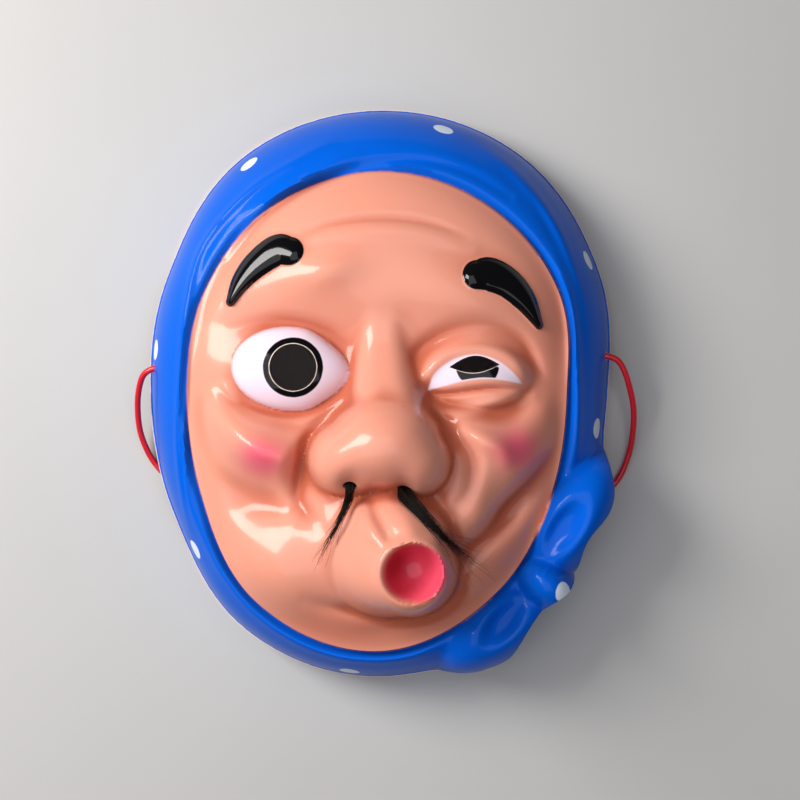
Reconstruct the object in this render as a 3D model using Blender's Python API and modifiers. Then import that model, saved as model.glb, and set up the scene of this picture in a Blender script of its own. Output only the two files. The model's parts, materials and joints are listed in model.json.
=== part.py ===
"""A hyottoko mask of thin plastic: a comic face in a knotted headscarf, lying on its rim with the face up.

The sheet is worked out in millimetres, with +Y towards the top of the head and +X towards the
viewer's right, and is written out in metres. Run with: blender --background --python part.py
"""

import math

import bpy
import numpy as np

# Sizes in millimetres unless a name says otherwise
MM = 0.001
SHEET = 1.0
FLANGE = 1.2
RINGS = 60
FACE_RINGS = 43
KEPT_FACES = 0.13
EYE_HOLE = (-32.8, 9.8)
EYE_HOLE_RADIUS = 9.0
SLIT_LEFT = (27.0, 9.9)
SLIT_RIGHT = (46.4, 10.9)
SLIT_RISE = 3.9
SLIT_SAG = 2.7
NOSTRIL_RADIUS = 2.7
NOSTRIL_TILT = math.radians(40)
CORD_HOLES = ((-90.4, 10.0), (90.4, 15.0))
CORD_HOLE_RADIUS = 2.0
CORD_HOLE_HEIGHT = 20.0
CORD_RADIUS = 1.25
CORD_FLOOR = CORD_RADIUS + 0.25
CORD_STEP = 5.0
KNOT_RADIUS = 2.9
TOUCH_GAP = 0.3
HAIR_ROOM = 2.5
HAIR_STEP = 3.0

# The cord's way from the left hole out, down, under the arched rim, behind the face and back up to the right hole
CORD_ROUTE = (
    (-85.4, 10.0, 20.0),
    (-88.0, 10.0, 20.0),
    (-92.4, 9.6, 19.8),
    (-96.4, 6.0, 17.8),
    (-98.8, -4.0, 12.6),
    (-98.2, -17.0, 6.6),
    (-93.0, -29.0, CORD_FLOOR + 0.4),
    (-84.0, -36.0, CORD_FLOOR),
    (-60.0, -43.0, CORD_FLOOR),
    (-20.0, -48.0, CORD_FLOOR),
    (25.0, -49.0, CORD_FLOOR),
    (65.0, -47.0, CORD_FLOOR),
    (86.0, -43.5, CORD_FLOOR),
    (97.0, -37.0, CORD_FLOOR),
    (102.6, -24.0, 4.2),
    (103.6, -8.0, 10.6),
    (100.4, 5.0, 16.8),
    (96.8, 12.4, 19.4),
    (92.6, 14.8, 20.0),
    (88.2, 15.0, 20.0),
    (85.4, 15.0, 20.0),
)
# Where each tuft of hair lies in plan, from its nostril to its tip, and its radius from the bound end to the tip
HAIR_ROUTES = {
    "left": ((-10.8, -34.8), (-11.6, -41.0), (-15.2, -49.0), (-19.4, -57.0), (-23.4, -65.5)),
    "right": ((9.8, -36.2), (14.0, -42.5), (21.5, -50.5), (30.0, -58.8), (38.5, -66.5)),
}
HAIR_RADII = (1.2, 1.9, 2.1, 1.7, 1.2, 0.5)

# Outline of the rim and of the face opening, as radii every 30 degrees from +X
RIM_RADII = (93.5, 103.9, 114.7, 117.3, 113.3, 100.8, 94.5, 98.4, 112.5, 117.3, 110.5, 97.0)
OPENING_RADII = (74.1, 81.4, 85.1, 86.7, 84.3, 79.5, 75.7, 81.1, 95.9, 102.0, 91.6, 78.7)
# The bow pushes the rim out at three places: angle, how wide in degrees, how far in millimetres
BOW_BULGES = ((292.5, 7.5, 9.5), (316.0, 6.0, 5.5), (334.5, 8.5, 7.5))
OPENING_HEIGHT = 43.0
FACE_MIDDLE_HEIGHT = 58.0
FACE_ROUNDING = 2.7
RIM_ARCH = 6.0
ARCH_MIDDLE = -5.0
ARCH_START = 30.0
ARCH_END = 66.0
WALL_ROUNDING = 1.8
# The face is tucked under the scarf's edge: how deep, and how wide the dip is on the face and on the scarf
TUCK_DEPTH = 2.8
TUCK_ON_FACE = 7.0
TUCK_ON_SCARF = 1.6

# Broad forms of the face: middle, half sizes, turn in degrees, how boxy the edge is, rise
BROAD_FORMS = {
    "forehead": ((0, 62), (46, 24), 0, 2.0, 2.5),
    "left brow bone": ((-21, 47), (14, 8), 15, 2.0, 4.2),
    "right brow bone": ((34, 38), (22, 9), -10, 2.0, 2.6),
    "left eye socket": ((-34, 10), (27, 21), 0, 2.8, -12.5),
    "right eye socket": ((35, 6), (26, 18), -6, 3.4, -9.5),
    "dip above the nose": ((3, 23), (24, 12), 0, 2.4, -5.0),
    "left cheek": ((-48, -19), (18, 12), -25, 2.6, 6.5),
    "right cheek": ((44, -24), (19, 15), -35, 2.8, 10.0),
    "right cheek foot": ((34, -43), (10, 15), 35, 2.4, 7.5),
    "right cheek bone": ((62, -12), (10, 14), 0, 2.4, 4.0),
    "mouth mound": ((-1, -64), (40, 20), 2, 2.3, 9.0),
    "left jowl": ((-42, -71), (21, 15), -38, 2.2, 4.5),
    "hollow under the mouth": ((22, -93), (36, 9), 16, 2.4, -4.0),
    "right jowl": ((50, -60), (9, 22), -38, 2.2, 2.0),
}
# Ridges and creases along smooth lines: x, y, half width, rise at each station
FACE_LINES = {
    "frown crease": ((-30, 60.5, 1.6, 0.0), (-19, 64.6, 1.7, -1.1), (-5, 66.6, 1.8, -1.5), (10, 66.4, 1.8, -1.5),
                     (23, 64.2, 1.7, -1.1), (36, 59.5, 1.6, 0.0)),
    "frown fold": ((-28, 57.0, 3.0, 0.0), (-19, 60.6, 3.2, 0.8), (-5, 62.4, 3.4, 1.2), (10, 62.2, 3.4, 1.2),
                   (23, 60.2, 3.2, 1.0), (36, 55.5, 3.0, 0.4)),
    "left cheek crest": ((-62, 20, 5.0, 0.0), (-64, 8, 5.5, 2.0), (-62.5, -4, 6.0, 4.0), (-57, -13, 6.5, 5.0),
                         (-48, -21, 7.5, 5.5), (-38, -25, 7.0, 4.5)),
    "left smile crease": ((-74, -28, 5.0, -0.3), (-64, -34.0, 7.0, -2.8), (-52, -38.5, 7.5, -4.0),
                          (-41, -41, 6.5, -3.6), (-31, -46, 5.0, -0.8)),
    "left nose crease": ((-9, -9, 2.5, -1.0), (-19, -13, 3.0, -3.4), (-26.5, -20, 3.6, -5.0), (-30.5, -31, 3.8, -5.2),
                         (-30, -42, 4.2, -4.2), (-24, -50, 4.0, -1.0)),
    "right nose crease": ((20, -6, 2.5, -1.0), (28, -13, 3.0, -2.5), (35, -24, 3.2, -3.0), (34.5, -36, 3.4, -2.5),
                          (29, -45, 3.4, -1.0)),
    "right cheek crest": ((22, -11, 3.0, 0.0), (30, -13.5, 3.6, 1.6), (39, -16.5, 4.0, 2.6),
                          (47, -22, 4.0, 2.4), (51, -29, 4.0, 0.6)),
    "right cheek fold": ((75, -20, 3.0, -1.0), (66, -29.5, 3.8, -5.0), (55.5, -40.5, 4.4, -7.5),
                         (45.0, -52, 4.4, -7.0), (36, -60.5, 4.0, -4.6), (29, -69, 4.0, -1.2)),
    "right jaw crease": ((74, -22, 2.0, -0.5), (70, -34, 2.4, -1.6), (64.5, -45.5, 2.6, -2.2), (60.5, -57, 2.6, -2.6),
                         (57, -69, 2.8, -2.4), (46, -84, 3.4, -1.6), (30, -93, 4.0, -0.6)),
    "crease under the mouth": ((-28, -80, 3.0, -0.5), (-20, -82.5, 3.0, -1.4), (-6, -84.5, 3.2, -2.6),
                               (8, -86.0, 3.4, -3.2), (21, -84.0, 3.2, -3.0), (32, -77, 3.2, -1.8)),
}
WINK_LINES = {
    "upper lid": ((16.0, -3.0, 2.4, 1.0), (17.4, 7.0, 3.0, 2.6), (26.5, 16.4, 3.6, 3.6), (39.0, 19.0, 3.8, 3.8),
                  (51.0, 14.6, 3.4, 3.0), (59.5, 4.0, 3.0, 0.8)),
    "fold above the lid": ((12.0, 3.0, 2.2, -0.4), (13.5, 14.0, 2.4, -1.0), (25.0, 24.0, 2.8, -1.2),
                           (41.0, 26.8, 2.8, -1.2), (55.0, 21.0, 2.4, -1.6), (63.0, 8.0, 2.0, -0.8)),
    "lower lid": ((16.0, -1.0, 2.2, 1.0), (21.0, -5.4, 2.6, 2.8), (31.0, -7.4, 3.0, 3.0), (46.0, -4.2, 3.0, 3.0),
                  (59.5, -1.0, 2.6, 1.0)),
    "crease under the eye": ((20.5, -0.6, 1.1, -0.8), (30.0, 0.2, 1.3, -2.4), (42.0, 1.6, 1.3, -2.4),
                             (55.0, 1.2, 1.1, -0.8)),
}
LIP_LINES = {
    "left ridge": ((-8, -40, 3.6, 0.8), (-6.0, -46, 3.8, 1.8), (-1.5, -53, 3.6, 1.8), (5, -59, 3.0, 0.5)),
    "right ridge": ((5, -41, 4.2, 0.8), (9.0, -46, 4.8, 1.8), (12, -52, 4.6, 1.8), (14, -57, 3.4, 0.4)),
    "groove between": ((-3.5, -40, 1.6, -0.6), (-0.8, -46, 1.7, -1.6), (4.2, -54, 1.7, -1.4)),
}
SCARF_LINES = {
    "tuck beside the face": ((-57, 51, 1.6, -0.4), (-45.6, 66.5, 1.8, -1.6), (-30.8, 78.2, 1.8, -1.8),
                             (-11.3, 87.6, 1.8, -1.8), (2.3, 90.3, 1.8, -1.8), (17.8, 90.6, 1.8, -1.6),
                             (35.3, 86.0, 1.8, -1.2), (50.9, 77.0, 1.8, -0.6)),
    "inner fold": ((-5, 95, 2.4, 0.0), (-21, 88, 1.8, 1.3), (-36, 79.5, 1.6, 1.9), (-49, 68, 1.6, 1.8),
                   (-60, 53, 1.6, 0.8)),
    "outer fold and hem": ((-15, 101, 2.4, 0.0), (-31.0, 92.0, 1.8, 1.3), (-51.8, 78.6, 1.6, 1.9),
                           (-70.2, 57.0, 1.6, 2.0), (-76.0, 30.6, 1.8, 2.0), (-78.4, 5.1, 1.5, 2.0),
                           (-79.6, -18.4, 1.4, 1.8), (-78.4, -38.1, 1.4, 1.4), (-75.3, -57.8, 1.4, 0.0)),
    "inner hem": ((-66.0, 50.0, 1.4, 0.0), (-73.1, 28.8, 1.3, 1.0), (-75.5, 5.1, 1.2, 1.8), (-76.6, -18.4, 1.2, 1.8),
                  (-75.5, -38.0, 1.2, 1.2), (-72.7, -55.7, 1.2, 0.0)),
    "lower hem": ((-75.0, -40.0, 1.6, 0.0), (-71.5, -52.0, 1.8, 1.4), (-60.5, -73.0, 2.0, 2.0),
                  (-42.5, -92.0, 2.0, 2.0), (-18.0, -103.3, 2.0, 2.0), (9.0, -104.6, 2.0, 1.6), (28.0, -98.0, 2.0, 0.0)),
    "right fold": ((36, 100, 3.0, 0.0), (53.0, 88, 2.8, 1.8), (67.5, 69.0, 2.8, 2.4), (75.5, 49.0, 2.8, 1.6),
                   (80, 25, 2.6, 0.0)),
    "right roll": ((66, 56, 2.2, 0.0), (73.6, 38.7, 2.4, 2.0), (77.5, 5.1, 2.4, 3.0), (77.5, -18.4, 2.4, 2.6),
                   (74, -34, 2.2, 0.4)),
    "right tuck": ((56, 85, 2.0, 0.0), (71, 58, 2.2, -1.2), (77, 40, 2.0, -1.0), (80, 22, 2.0, 0.0)),
}

# The eyes, brows and mouth
LEFT_EYE = (-34.3, 9.3)
LEFT_EYE_HALF = (22.6, 16.2)
EYEBALL_FOOT = 49.0
EYEBALL_RISE = 10.5
LEFT_BROW = ((-34.4, 54.6, 5.6), (-39.5, 55.0, 6.2), (-47.6, 49.6, 5.4), (-53.5, 43.0, 4.0), (-57.6, 35.4, 1.9))
RIGHT_BROW = ((37.8, 45.4, 5.8), (42.8, 45.6, 6.7), (50.0, 42.2, 6.0), (56.6, 35.5, 4.6), (62.0, 26.4, 1.8))
BROW_RISE = 2.8
BROW_CROWN = 2.6
WINK_BALL = ((36.5, 6.5), (21, 13))
WINK_FOOT = 46.5
WINK_RISE = 10.0
MOUTH = (12.4, -66.6)
MOUTH_RADIUS = 12.0
MOUTH_HEIGHT = 79.5
LIP_RADIUS = 12.6
LIP_HEIGHT = 81.0
LIP_THICKNESS = 3.3
CUP = (13.6, -66.3)
CUP_RADIUS = 10.9
CUP_FLOOR = 64.5
CUP_DEPTH = 15.0

# The nose: stations of x, y, half width and height along the bridge, then the ball and the wings
NOSE_BRIDGE = ((1.5, 32, 10.0, 53.0), (1.3, 20, 11.0, 55.0), (1.6, 10.6, 12.0, 59.0), (2.4, 0, 13.0, 65.5),
               (3.0, -8, 14.0, 72.0), (3.2, -14, 14.0, 75.5), (3.2, -19, 13.0, 76.5))
NOSE_BALL = ((2.5, -19.5), (22.0, 17.5), 0)
NOSE_WINGS = (((-10.5, -24.5), (17.0, 15.0), 12), ((14.0, -26.0), (14.5, 14.5), 20))
NOSE_BALL_FOOT = 58.0
NOSE_BALL_RISE = 26.0
NOSE_WING_FOOT = 54.0
NOSE_WING_RISE = 25.0
NOSTRILS = ((-10.8, -34.8), (9.8, -36.2))
NOSTRIL_DENTS = (((-10.8, -34.6), (4.8, 4.0), 60), ((9.6, -36.2), (5.0, 4.2), 120))
NOSTRIL_DEPTH = 4.0

# The bow: middle, half sizes and turn of each loop, of the knot and of the dents in the loops
BOW_LOOPS = (((76.5, -50.0), (28.0, 15.5), 60, 22.0, 27.0), ((46.5, -92.5), (27.5, 15.0), 33, 20.0, 26.0))
BOW_KNOT = ((66.0, -75.5), (11.5, 15.5), 50, 20.0, 30.0)
BOW_DENTS = (((72.3, -52.5), (11.5, 5.2), 58), ((48.5, -90.0), (10.5, 5.0), 47))
BOW_DENT_DEPTH = 6.5


def step(value, start, end):
    """0 before start, 1 past end, and smooth between them."""
    t = np.clip((value - start) / (end - start), 0.0, 1.0)
    return t * t * (3.0 - 2.0 * t)


def soft_max(a, b, blend):
    """The larger of two heights, rounded where they cross."""
    return 0.5 * (a + b + np.sqrt((a - b) ** 2 + blend ** 2))


def soft_min(a, b, blend):
    """The smaller of two heights, rounded where they cross."""
    return -soft_max(-a, -b, blend)


def between_stations(a, b, c, d, t):
    """A smooth curve from b to c, with a and d as the stations on either side."""
    return b + 0.5 * t * (c - a + t * (2 * a - 5 * b + 4 * c - d + t * (3 * (b - c) + d - a)))


def around(values, angle):
    """Read a ring of evenly spaced values smoothly at any angle."""
    values = np.asarray(values, float)
    place = np.mod(angle, 2 * np.pi) / (2 * np.pi) * len(values)
    first = np.floor(place).astype(int)
    near = [values[(first + k) % len(values)] for k in (-1, 0, 1, 2)]
    return between_stations(*near, place - first)


def in_oval(x, y, middle, size, turn):
    """How far a place is out from the middle of a turned oval, squared: 1 on its edge."""
    c = math.cos(math.radians(turn))
    s = math.sin(math.radians(turn))
    u = ((x - middle[0]) * c + (y - middle[1]) * s) / size[0]
    v = ((y - middle[1]) * c - (x - middle[0]) * s) / size[1]
    return u * u + v * v


def swell(x, y, middle, size, turn=0.0, edge=2.0):
    """A soft swelling: 1 at its middle, fading out past its size."""
    return np.exp(-in_oval(x, y, middle, size, turn) ** (edge / 2))


def dome(x, y, middle, size, turn=0.0):
    """A round dome: 1 at its middle, about 0 at its size, and falling away steeply outside."""
    q = in_oval(x, y, middle, size, turn)
    join = 0.92
    foot = math.sqrt(1 - join)
    return np.where(q < join, np.sqrt(np.clip(1.0 - q, 0, 1)), foot - (q - join) / (2 * foot))


def smooth_path(points, steps=8):
    """Run a smooth curve through a few stations."""
    p = np.asarray(points, float)
    p = np.vstack([2 * p[0] - p[1], p, 2 * p[-1] - p[-2]])
    out = []
    for k in range(len(p) - 3):
        for t in np.linspace(0, 1, steps, endpoint=False):
            out.append(between_stations(*p[k:k + 4], t))
    out.append(p[-2])
    return np.array(out)


def along(x, y, points, steps=8):
    """The distance to a path, and the path's other columns at the nearest place on it."""
    path = smooth_path(points, steps)
    best = np.full(x.shape, np.inf)
    rest = np.zeros(x.shape + (path.shape[1] - 2,))
    for a, b in zip(path[:-1], path[1:]):
        d = b[:2] - a[:2]
        t = np.clip(((x - a[0]) * d[0] + (y - a[1]) * d[1]) / (d @ d), 0, 1)
        gap = np.hypot(x - a[0] - t * d[0], y - a[1] - t * d[1])
        near = gap < best
        best = np.where(near, gap, best)
        rest = np.where(near[..., None], a[2:] + t[..., None] * (b[2:] - a[2:]), rest)
    return best, rest


def ridge(x, y, points):
    """A ridge or groove along stations of x, y, half width and rise."""
    gap, rest = along(x, y, points)
    return rest[..., 1] * np.exp(-(gap / rest[..., 0]) ** 2)


def cushion(x, y, points, crown):
    """A pillow over a tapering stroke of x, y, half width: 1 along its middle and 0 at its outline."""
    gap, rest = along(x, y, points)
    return 1.0 - np.clip(gap / rest[..., 0], 0, 1) ** crown


def stroke(x, y, points):
    """The signed distance to the outline of a tapering stroke of x, y, half width."""
    gap, rest = along(x, y, points)
    return gap - rest[..., 0]


def rim_radius(angle):
    degrees = np.degrees(np.mod(angle, 2 * np.pi))
    radius = around(RIM_RADII, angle)
    for at, wide, out in BOW_BULGES:
        radius = radius + out * np.exp(-((degrees - at) / wide) ** 2)
    return radius


def opening_radius(angle):
    return around(OPENING_RADII, angle)


def opening_height(angle):
    """The face opening lies a little lower at the sides and at the chin."""
    return OPENING_HEIGHT - 5.0 * np.cos(angle) ** 2 + 4.0 * np.sin(angle)


def rim_lift(y):
    """The rim arches up at the sides, where the cord passes under it."""
    return RIM_ARCH * (1.0 - step(np.abs(y - ARCH_MIDDLE), ARCH_START, ARCH_END))


def eye_white(x, y):
    """About the signed distance to the outline of the round eye, which points towards the nose."""
    u = (x - LEFT_EYE[0]) / LEFT_EYE_HALF[0]
    v = (y - LEFT_EYE[1]) / LEFT_EYE_HALF[1]
    slim = 1.0 - 0.22 * step(u, 0.2, 1.0)
    lean = v + 0.05 * u
    return (np.hypot(u, lean / slim) - 1.0) * LEFT_EYE_HALF[1]


def add_lines(z, x, y, lines):
    for points in lines.values():
        z = z + ridge(x, y, points)
    return z


def add_eyes(z, x, y):
    white = eye_white(x, y)
    inside = np.clip(-white / LEFT_EYE_HALF[1], 0, 1)
    ball = EYEBALL_FOOT + EYEBALL_RISE * np.sqrt(1.0 - (1.0 - inside) ** 2) - 0.5 * np.maximum(white, 0)
    z = soft_max(z, ball, 1.2)
    z = z + 1.2 * np.exp(-((white - 3.4) / 1.8) ** 2) * step(LEFT_EYE[1] - 3 - y, 0, 8)
    ball = WINK_FOOT + WINK_RISE * dome(x, y, *WINK_BALL)
    z = soft_max(z, ball, 2.0)
    return add_lines(z, x, y, WINK_LINES)


def add_nose(z, x, y):
    bridge, rest = along(x, y, NOSE_BRIDGE)
    z = soft_max(z, rest[..., 1] - 9.0 * (bridge / rest[..., 0]) ** 3, 3.0)
    left, right = [NOSE_WING_FOOT + NOSE_WING_RISE * dome(x, y, *wing) for wing in NOSE_WINGS]
    z = soft_max(z, soft_max(left, right, 3.0), 3.2)
    ball = NOSE_BALL_FOOT + NOSE_BALL_RISE * dome(x, y, *NOSE_BALL)
    return soft_max(z, ball, 5.0)


def add_mouth(z, x, y):
    """A short tube, drawn out of the face towards the lower right, with a closed dish in its end."""
    upper_lip = 42.0 + 25.0 * swell(x, y, (5, -48), (21, 15), 0, 3.2)
    z = soft_max(z, upper_lip, 3.0)
    ring = np.hypot(x - MOUTH[0], y - MOUTH[1])
    heading = np.arctan2(y - MOUTH[1], x - MOUTH[0])
    reach = (1.25 + 0.95 * np.cos(heading - math.radians(150))) * (1.0 + 0.25 * np.sin(heading))
    outside = np.maximum(ring - MOUTH_RADIUS, 0.0) / soft_max(reach, 0.55, 0.2)
    tube = MOUTH_HEIGHT - 0.7 * outside - 0.16 * outside ** 2
    z = soft_max(z, np.maximum(tube, 40.0), 4.0)
    z = add_lines(z, x, y, LIP_LINES)
    lean = 0.06 * (y - MOUTH[1]) - 0.05 * (x - MOUTH[0])
    lip = LIP_HEIGHT + lean - 5.0 * ((ring - LIP_RADIUS) / LIP_THICKNESS) ** 2
    z = soft_max(z, np.maximum(lip, 40.0), 1.6)
    cup = np.hypot(x - CUP[0], y - CUP[1]) / CUP_RADIUS
    return np.where(cup < 1.5, soft_min(z, CUP_FLOOR + CUP_DEPTH * cup ** 3.2, 1.2), z)


def face_height(x, y, rho, angle):
    z = FACE_MIDDLE_HEIGHT + (opening_height(angle) - FACE_MIDDLE_HEIGHT) * rho ** FACE_ROUNDING
    for middle, size, turn, edge, rise in BROAD_FORMS.values():
        z = z + rise * swell(x, y, middle, size, turn, edge)
    z = add_lines(z, x, y, FACE_LINES)
    z = add_eyes(z, x, y)
    z = add_nose(z, x, y)
    z = add_mouth(z, x, y)
    for middle, size, turn in NOSTRIL_DENTS:
        z = z - NOSTRIL_DEPTH * swell(x, y, middle, size, turn)
    for brow in (LEFT_BROW, RIGHT_BROW):
        z = z + BROW_RISE * cushion(x, y, brow, BROW_CROWN)
    return z


def add_bow(z, x, y):
    """The knot and its two dented loops, standing on the scarf."""
    for middle, size, turn, foot, rise in BOW_LOOPS:
        z = soft_max(z, foot + rise * dome(x, y, middle, size, turn), 3.0)
    middle, size, turn, foot, rise = BOW_KNOT
    z = soft_max(z, foot + rise * dome(x, y, middle, size, turn), 2.5)
    for middle, size, turn in BOW_DENTS:
        z = z - BOW_DENT_DEPTH * swell(x, y, middle, size, turn, 3.2)
    return z


def sheet_height(x, y):
    """The height of the sheet's outer face anywhere in plan."""
    angle = np.mod(np.arctan2(y, x), 2 * np.pi)
    radius = np.hypot(x, y)
    opening = opening_radius(angle)
    wall = rim_radius(angle) - FLANGE
    rho = np.clip(radius / opening, 0, 1)
    t = np.clip((radius - opening) / (wall - opening), 0, 1)
    in_face = rho < 1.0 - 1e-9
    scarf = opening_height(angle) * np.clip(1.0 - t ** WALL_ROUNDING, 0, 1) ** (1 / WALL_ROUNDING)
    z = np.where(in_face, face_height(x, y, rho, angle), scarf)
    fade = np.where(in_face, np.exp(-((rho - 1.0) / 0.035) ** 2), step(1.0 - t, 0.0, 0.15))
    z = z + fade * add_lines(np.zeros_like(z), x, y, SCARF_LINES)
    z = z - TUCK_DEPTH * np.exp(-((radius - opening) / np.where(in_face, TUCK_ON_FACE, TUCK_ON_SCARF)) ** 2)
    foot = SHEET + rim_lift(y)
    on_scarf = add_bow(z, x, y) * step(1.0 - t, 0.0, 0.02)
    on_scarf = foot + np.maximum(on_scarf - SHEET, 0) * (1.0 - foot / 60.0)
    z = np.where(in_face, z, on_scarf)
    return np.where(radius > wall + 1e-6, foot, z)


def sheet_place(r, angle, rings, face_rings):
    """Where a ring of the sheet lies in plan: r runs from 0 in the middle to 1 at the flange's edge."""
    face_end = face_rings / rings
    wall_end = 1.0 - 1.0 / rings
    opening = opening_radius(angle)
    rim = rim_radius(angle)
    rho = np.clip(r / face_end, 0, 1)
    t = np.sin(np.clip((r - face_end) / (wall_end - face_end), 0, 1) * np.pi / 2)
    radius = opening * rho + (rim - FLANGE - opening) * t
    radius = np.where(r > wall_end + 1e-6, rim, radius)
    return radius * np.cos(angle), radius * np.sin(angle)


def sheet_mesh(name, rings, face_rings):
    """A square grid wrapped onto the rings of the mask, so that no ring closes on a single point."""
    side = 2 * rings + 1
    row, column = np.meshgrid(np.arange(side), np.arange(side), indexing="ij")
    a = (column - rings) / rings
    b = (row - rings) / rings
    across = np.abs(a) >= np.abs(b)
    wide = np.where(across, a, b)
    slim = np.where(across, b, a)
    turn = np.pi / 4 * slim / np.where(wide == 0, 1, wide)
    angle = np.where(across, turn, np.pi / 2 - turn) + np.where(wide < 0, np.pi, 0)
    x, y = sheet_place(np.abs(wide), np.mod(angle, 2 * np.pi), rings, face_rings)
    z = sheet_height(x, y)
    places = np.stack([x, y, z], axis=-1).reshape(-1, 3) * MM
    index = np.arange(side * side).reshape(side, side)
    corners = (index[:-1, :-1], index[:-1, 1:], index[1:, 1:], index[1:, :-1])
    quads = np.stack(corners, axis=-1).reshape(-1, 4)
    mesh = bpy.data.meshes.new(name)
    mesh.from_pydata(places.tolist(), [], quads.tolist())
    return mesh


def clear_scene():
    for obj in list(bpy.data.objects):
        bpy.data.objects.remove(obj, do_unlink=True)


def new_collection(name):
    found = bpy.data.collections.new(name)
    bpy.context.scene.collection.children.link(found)
    return found


def plain_material(name, colour, roughness):
    material = bpy.data.materials.new(name)
    material.use_nodes = True
    shader = material.node_tree.nodes["Principled BSDF"]
    shader.inputs["Base Color"].default_value = (*colour, 1.0)
    shader.inputs["Roughness"].default_value = roughness
    return material


def sheet_point(x, y):
    """The height of the sheet's outer face at one place."""
    return float(sheet_height(np.array([float(x)]), np.array([float(y)]))[0])


def closed_solid(name, bottom, top, collection):
    """Join two loops with the same number of points into a closed solid."""
    count = len(bottom)
    faces = [tuple(reversed(range(count))), tuple(range(count, 2 * count))]
    for k in range(count):
        after = (k + 1) % count
        faces.append((k, after, count + after, count + k))
    mesh = bpy.data.meshes.new(name)
    mesh.from_pydata([tuple(c * MM for c in place) for place in bottom + top], [], faces)
    obj = bpy.data.objects.new(name, mesh)
    collection.objects.link(obj)


def round_cutter(name, middle, direction, radius, reach, sides, collection):
    """A rod through a point, for cutting a round hole."""
    along_rod = np.array(direction, float)
    side = np.cross(along_rod, (0.0, 1.0, 0.0))
    side = side / np.linalg.norm(side)
    up = np.cross(along_rod, side)
    turns = np.linspace(0, 2 * np.pi, sides, endpoint=False)
    ring = [radius * (math.cos(a) * side + math.sin(a) * up) for a in turns]
    bottom = [tuple(middle - reach * along_rod + place) for place in ring]
    top = [tuple(middle + reach * along_rod + place) for place in ring]
    closed_solid(name, bottom, top, collection)


def slit_cutter(collection, steps=10, low=35.0, high=75.0):
    """The lens-shaped slit of the winking eye, cut straight down."""
    outline = []
    for k in range(steps):
        outline.append((k / steps, -SLIT_SAG))
    for k in range(steps):
        outline.append((1 - k / steps, SLIT_RISE))
    places = []
    for t, bulge in outline:
        x = SLIT_LEFT[0] + (SLIT_RIGHT[0] - SLIT_LEFT[0]) * t
        y = SLIT_LEFT[1] + (SLIT_RIGHT[1] - SLIT_LEFT[1]) * t + bulge * math.sin(math.pi * t)
        places.append((x, y))
    closed_solid("slit_cutter", [(x, y, low) for x, y in places], [(x, y, high) for x, y in places], collection)


def nostril_direction():
    return np.array([0.0, -math.sin(NOSTRIL_TILT), math.cos(NOSTRIL_TILT)])


def make_cutters(collection):
    round_cutter("eye_cutter", np.array([*EYE_HOLE, 55.0]), (0, 0, 1), EYE_HOLE_RADIUS, 15.0, 48, collection)
    slit_cutter(collection)
    for side, (x, y) in zip(("left", "right"), NOSTRILS):
        middle = np.array([x, y, sheet_point(x, y)])
        round_cutter("nostril_cutter_" + side, middle, nostril_direction(), NOSTRIL_RADIUS, 6.0, 20, collection)
    for side, (x, y) in zip(("left", "right"), CORD_HOLES):
        middle = np.array([x, y, CORD_HOLE_HEIGHT])
        round_cutter("cord_cutter_" + side, middle, (1, 0, 0), CORD_HOLE_RADIUS, 6.0, 16, collection)
    for obj in collection.objects:
        obj.hide_render = True
        obj.display_type = "WIRE"


def even_points(stations, spacing):
    """Read a smooth curve through the stations at even steps."""
    fine = smooth_path(stations, 40)
    gaps = np.linalg.norm(np.diff(fine[:, :3], axis=0), axis=1)
    run = np.concatenate([[0], np.cumsum(gaps)])
    at = np.linspace(0, run[-1], int(round(run[-1] / spacing)) + 1)
    return np.stack([np.interp(at, run, column) for column in fine.T], axis=-1)


def tube(name, places, radii, material, collection):
    """A round tube along places, each with its own radius."""
    curve = bpy.data.curves.new(name, "CURVE")
    curve.dimensions = "3D"
    curve.bevel_depth = MM
    curve.bevel_resolution = 2
    curve.use_fill_caps = True
    spline = curve.splines.new("POLY")
    spline.points.add(len(places) - 1)
    for point, place, radius in zip(spline.points, places, radii):
        point.co = (*(c * MM for c in place), 1.0)
        point.radius = radius
    curve.materials.append(material)
    obj = bpy.data.objects.new(name, curve)
    collection.objects.link(obj)


def make_knot(side, end, before, material, collection):
    """The tied end of the cord, just inside its hole."""
    away = np.array(end) - np.array(before)
    away = away / np.linalg.norm(away)
    middle = np.array(end) + away * (KNOT_RADIUS + TOUCH_GAP)
    bpy.ops.mesh.primitive_uv_sphere_add(segments=12, ring_count=8, radius=KNOT_RADIUS * MM,
                                         location=tuple(middle * MM))
    knot = bpy.context.object
    knot.name = "cord_knot_" + side
    knot.data.materials.append(material)
    for home in list(knot.users_collection):
        home.objects.unlink(knot)
    collection.objects.link(knot)


def hair_route(stations):
    """From inside the nose out through the nostril, then down over the lip, a little clear of it."""
    x, y = stations[0]
    start = np.array([x, y, sheet_point(x, y)])
    route = [tuple(start - 6.5 * nostril_direction()), tuple(start + 2.5 * nostril_direction())]
    for x, y in stations[1:]:
        near = [sheet_point(x + HAIR_ROOM * a, y + HAIR_ROOM * b) for a in (-1, 0, 1) for b in (-1, 0, 1)]
        route.append((x, y, max(near) + HAIR_ROOM))
    return route


clear_scene()
mask = new_collection("hyottoko_mask")
cutters = new_collection("cutters")
make_cutters(cutters)

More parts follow.
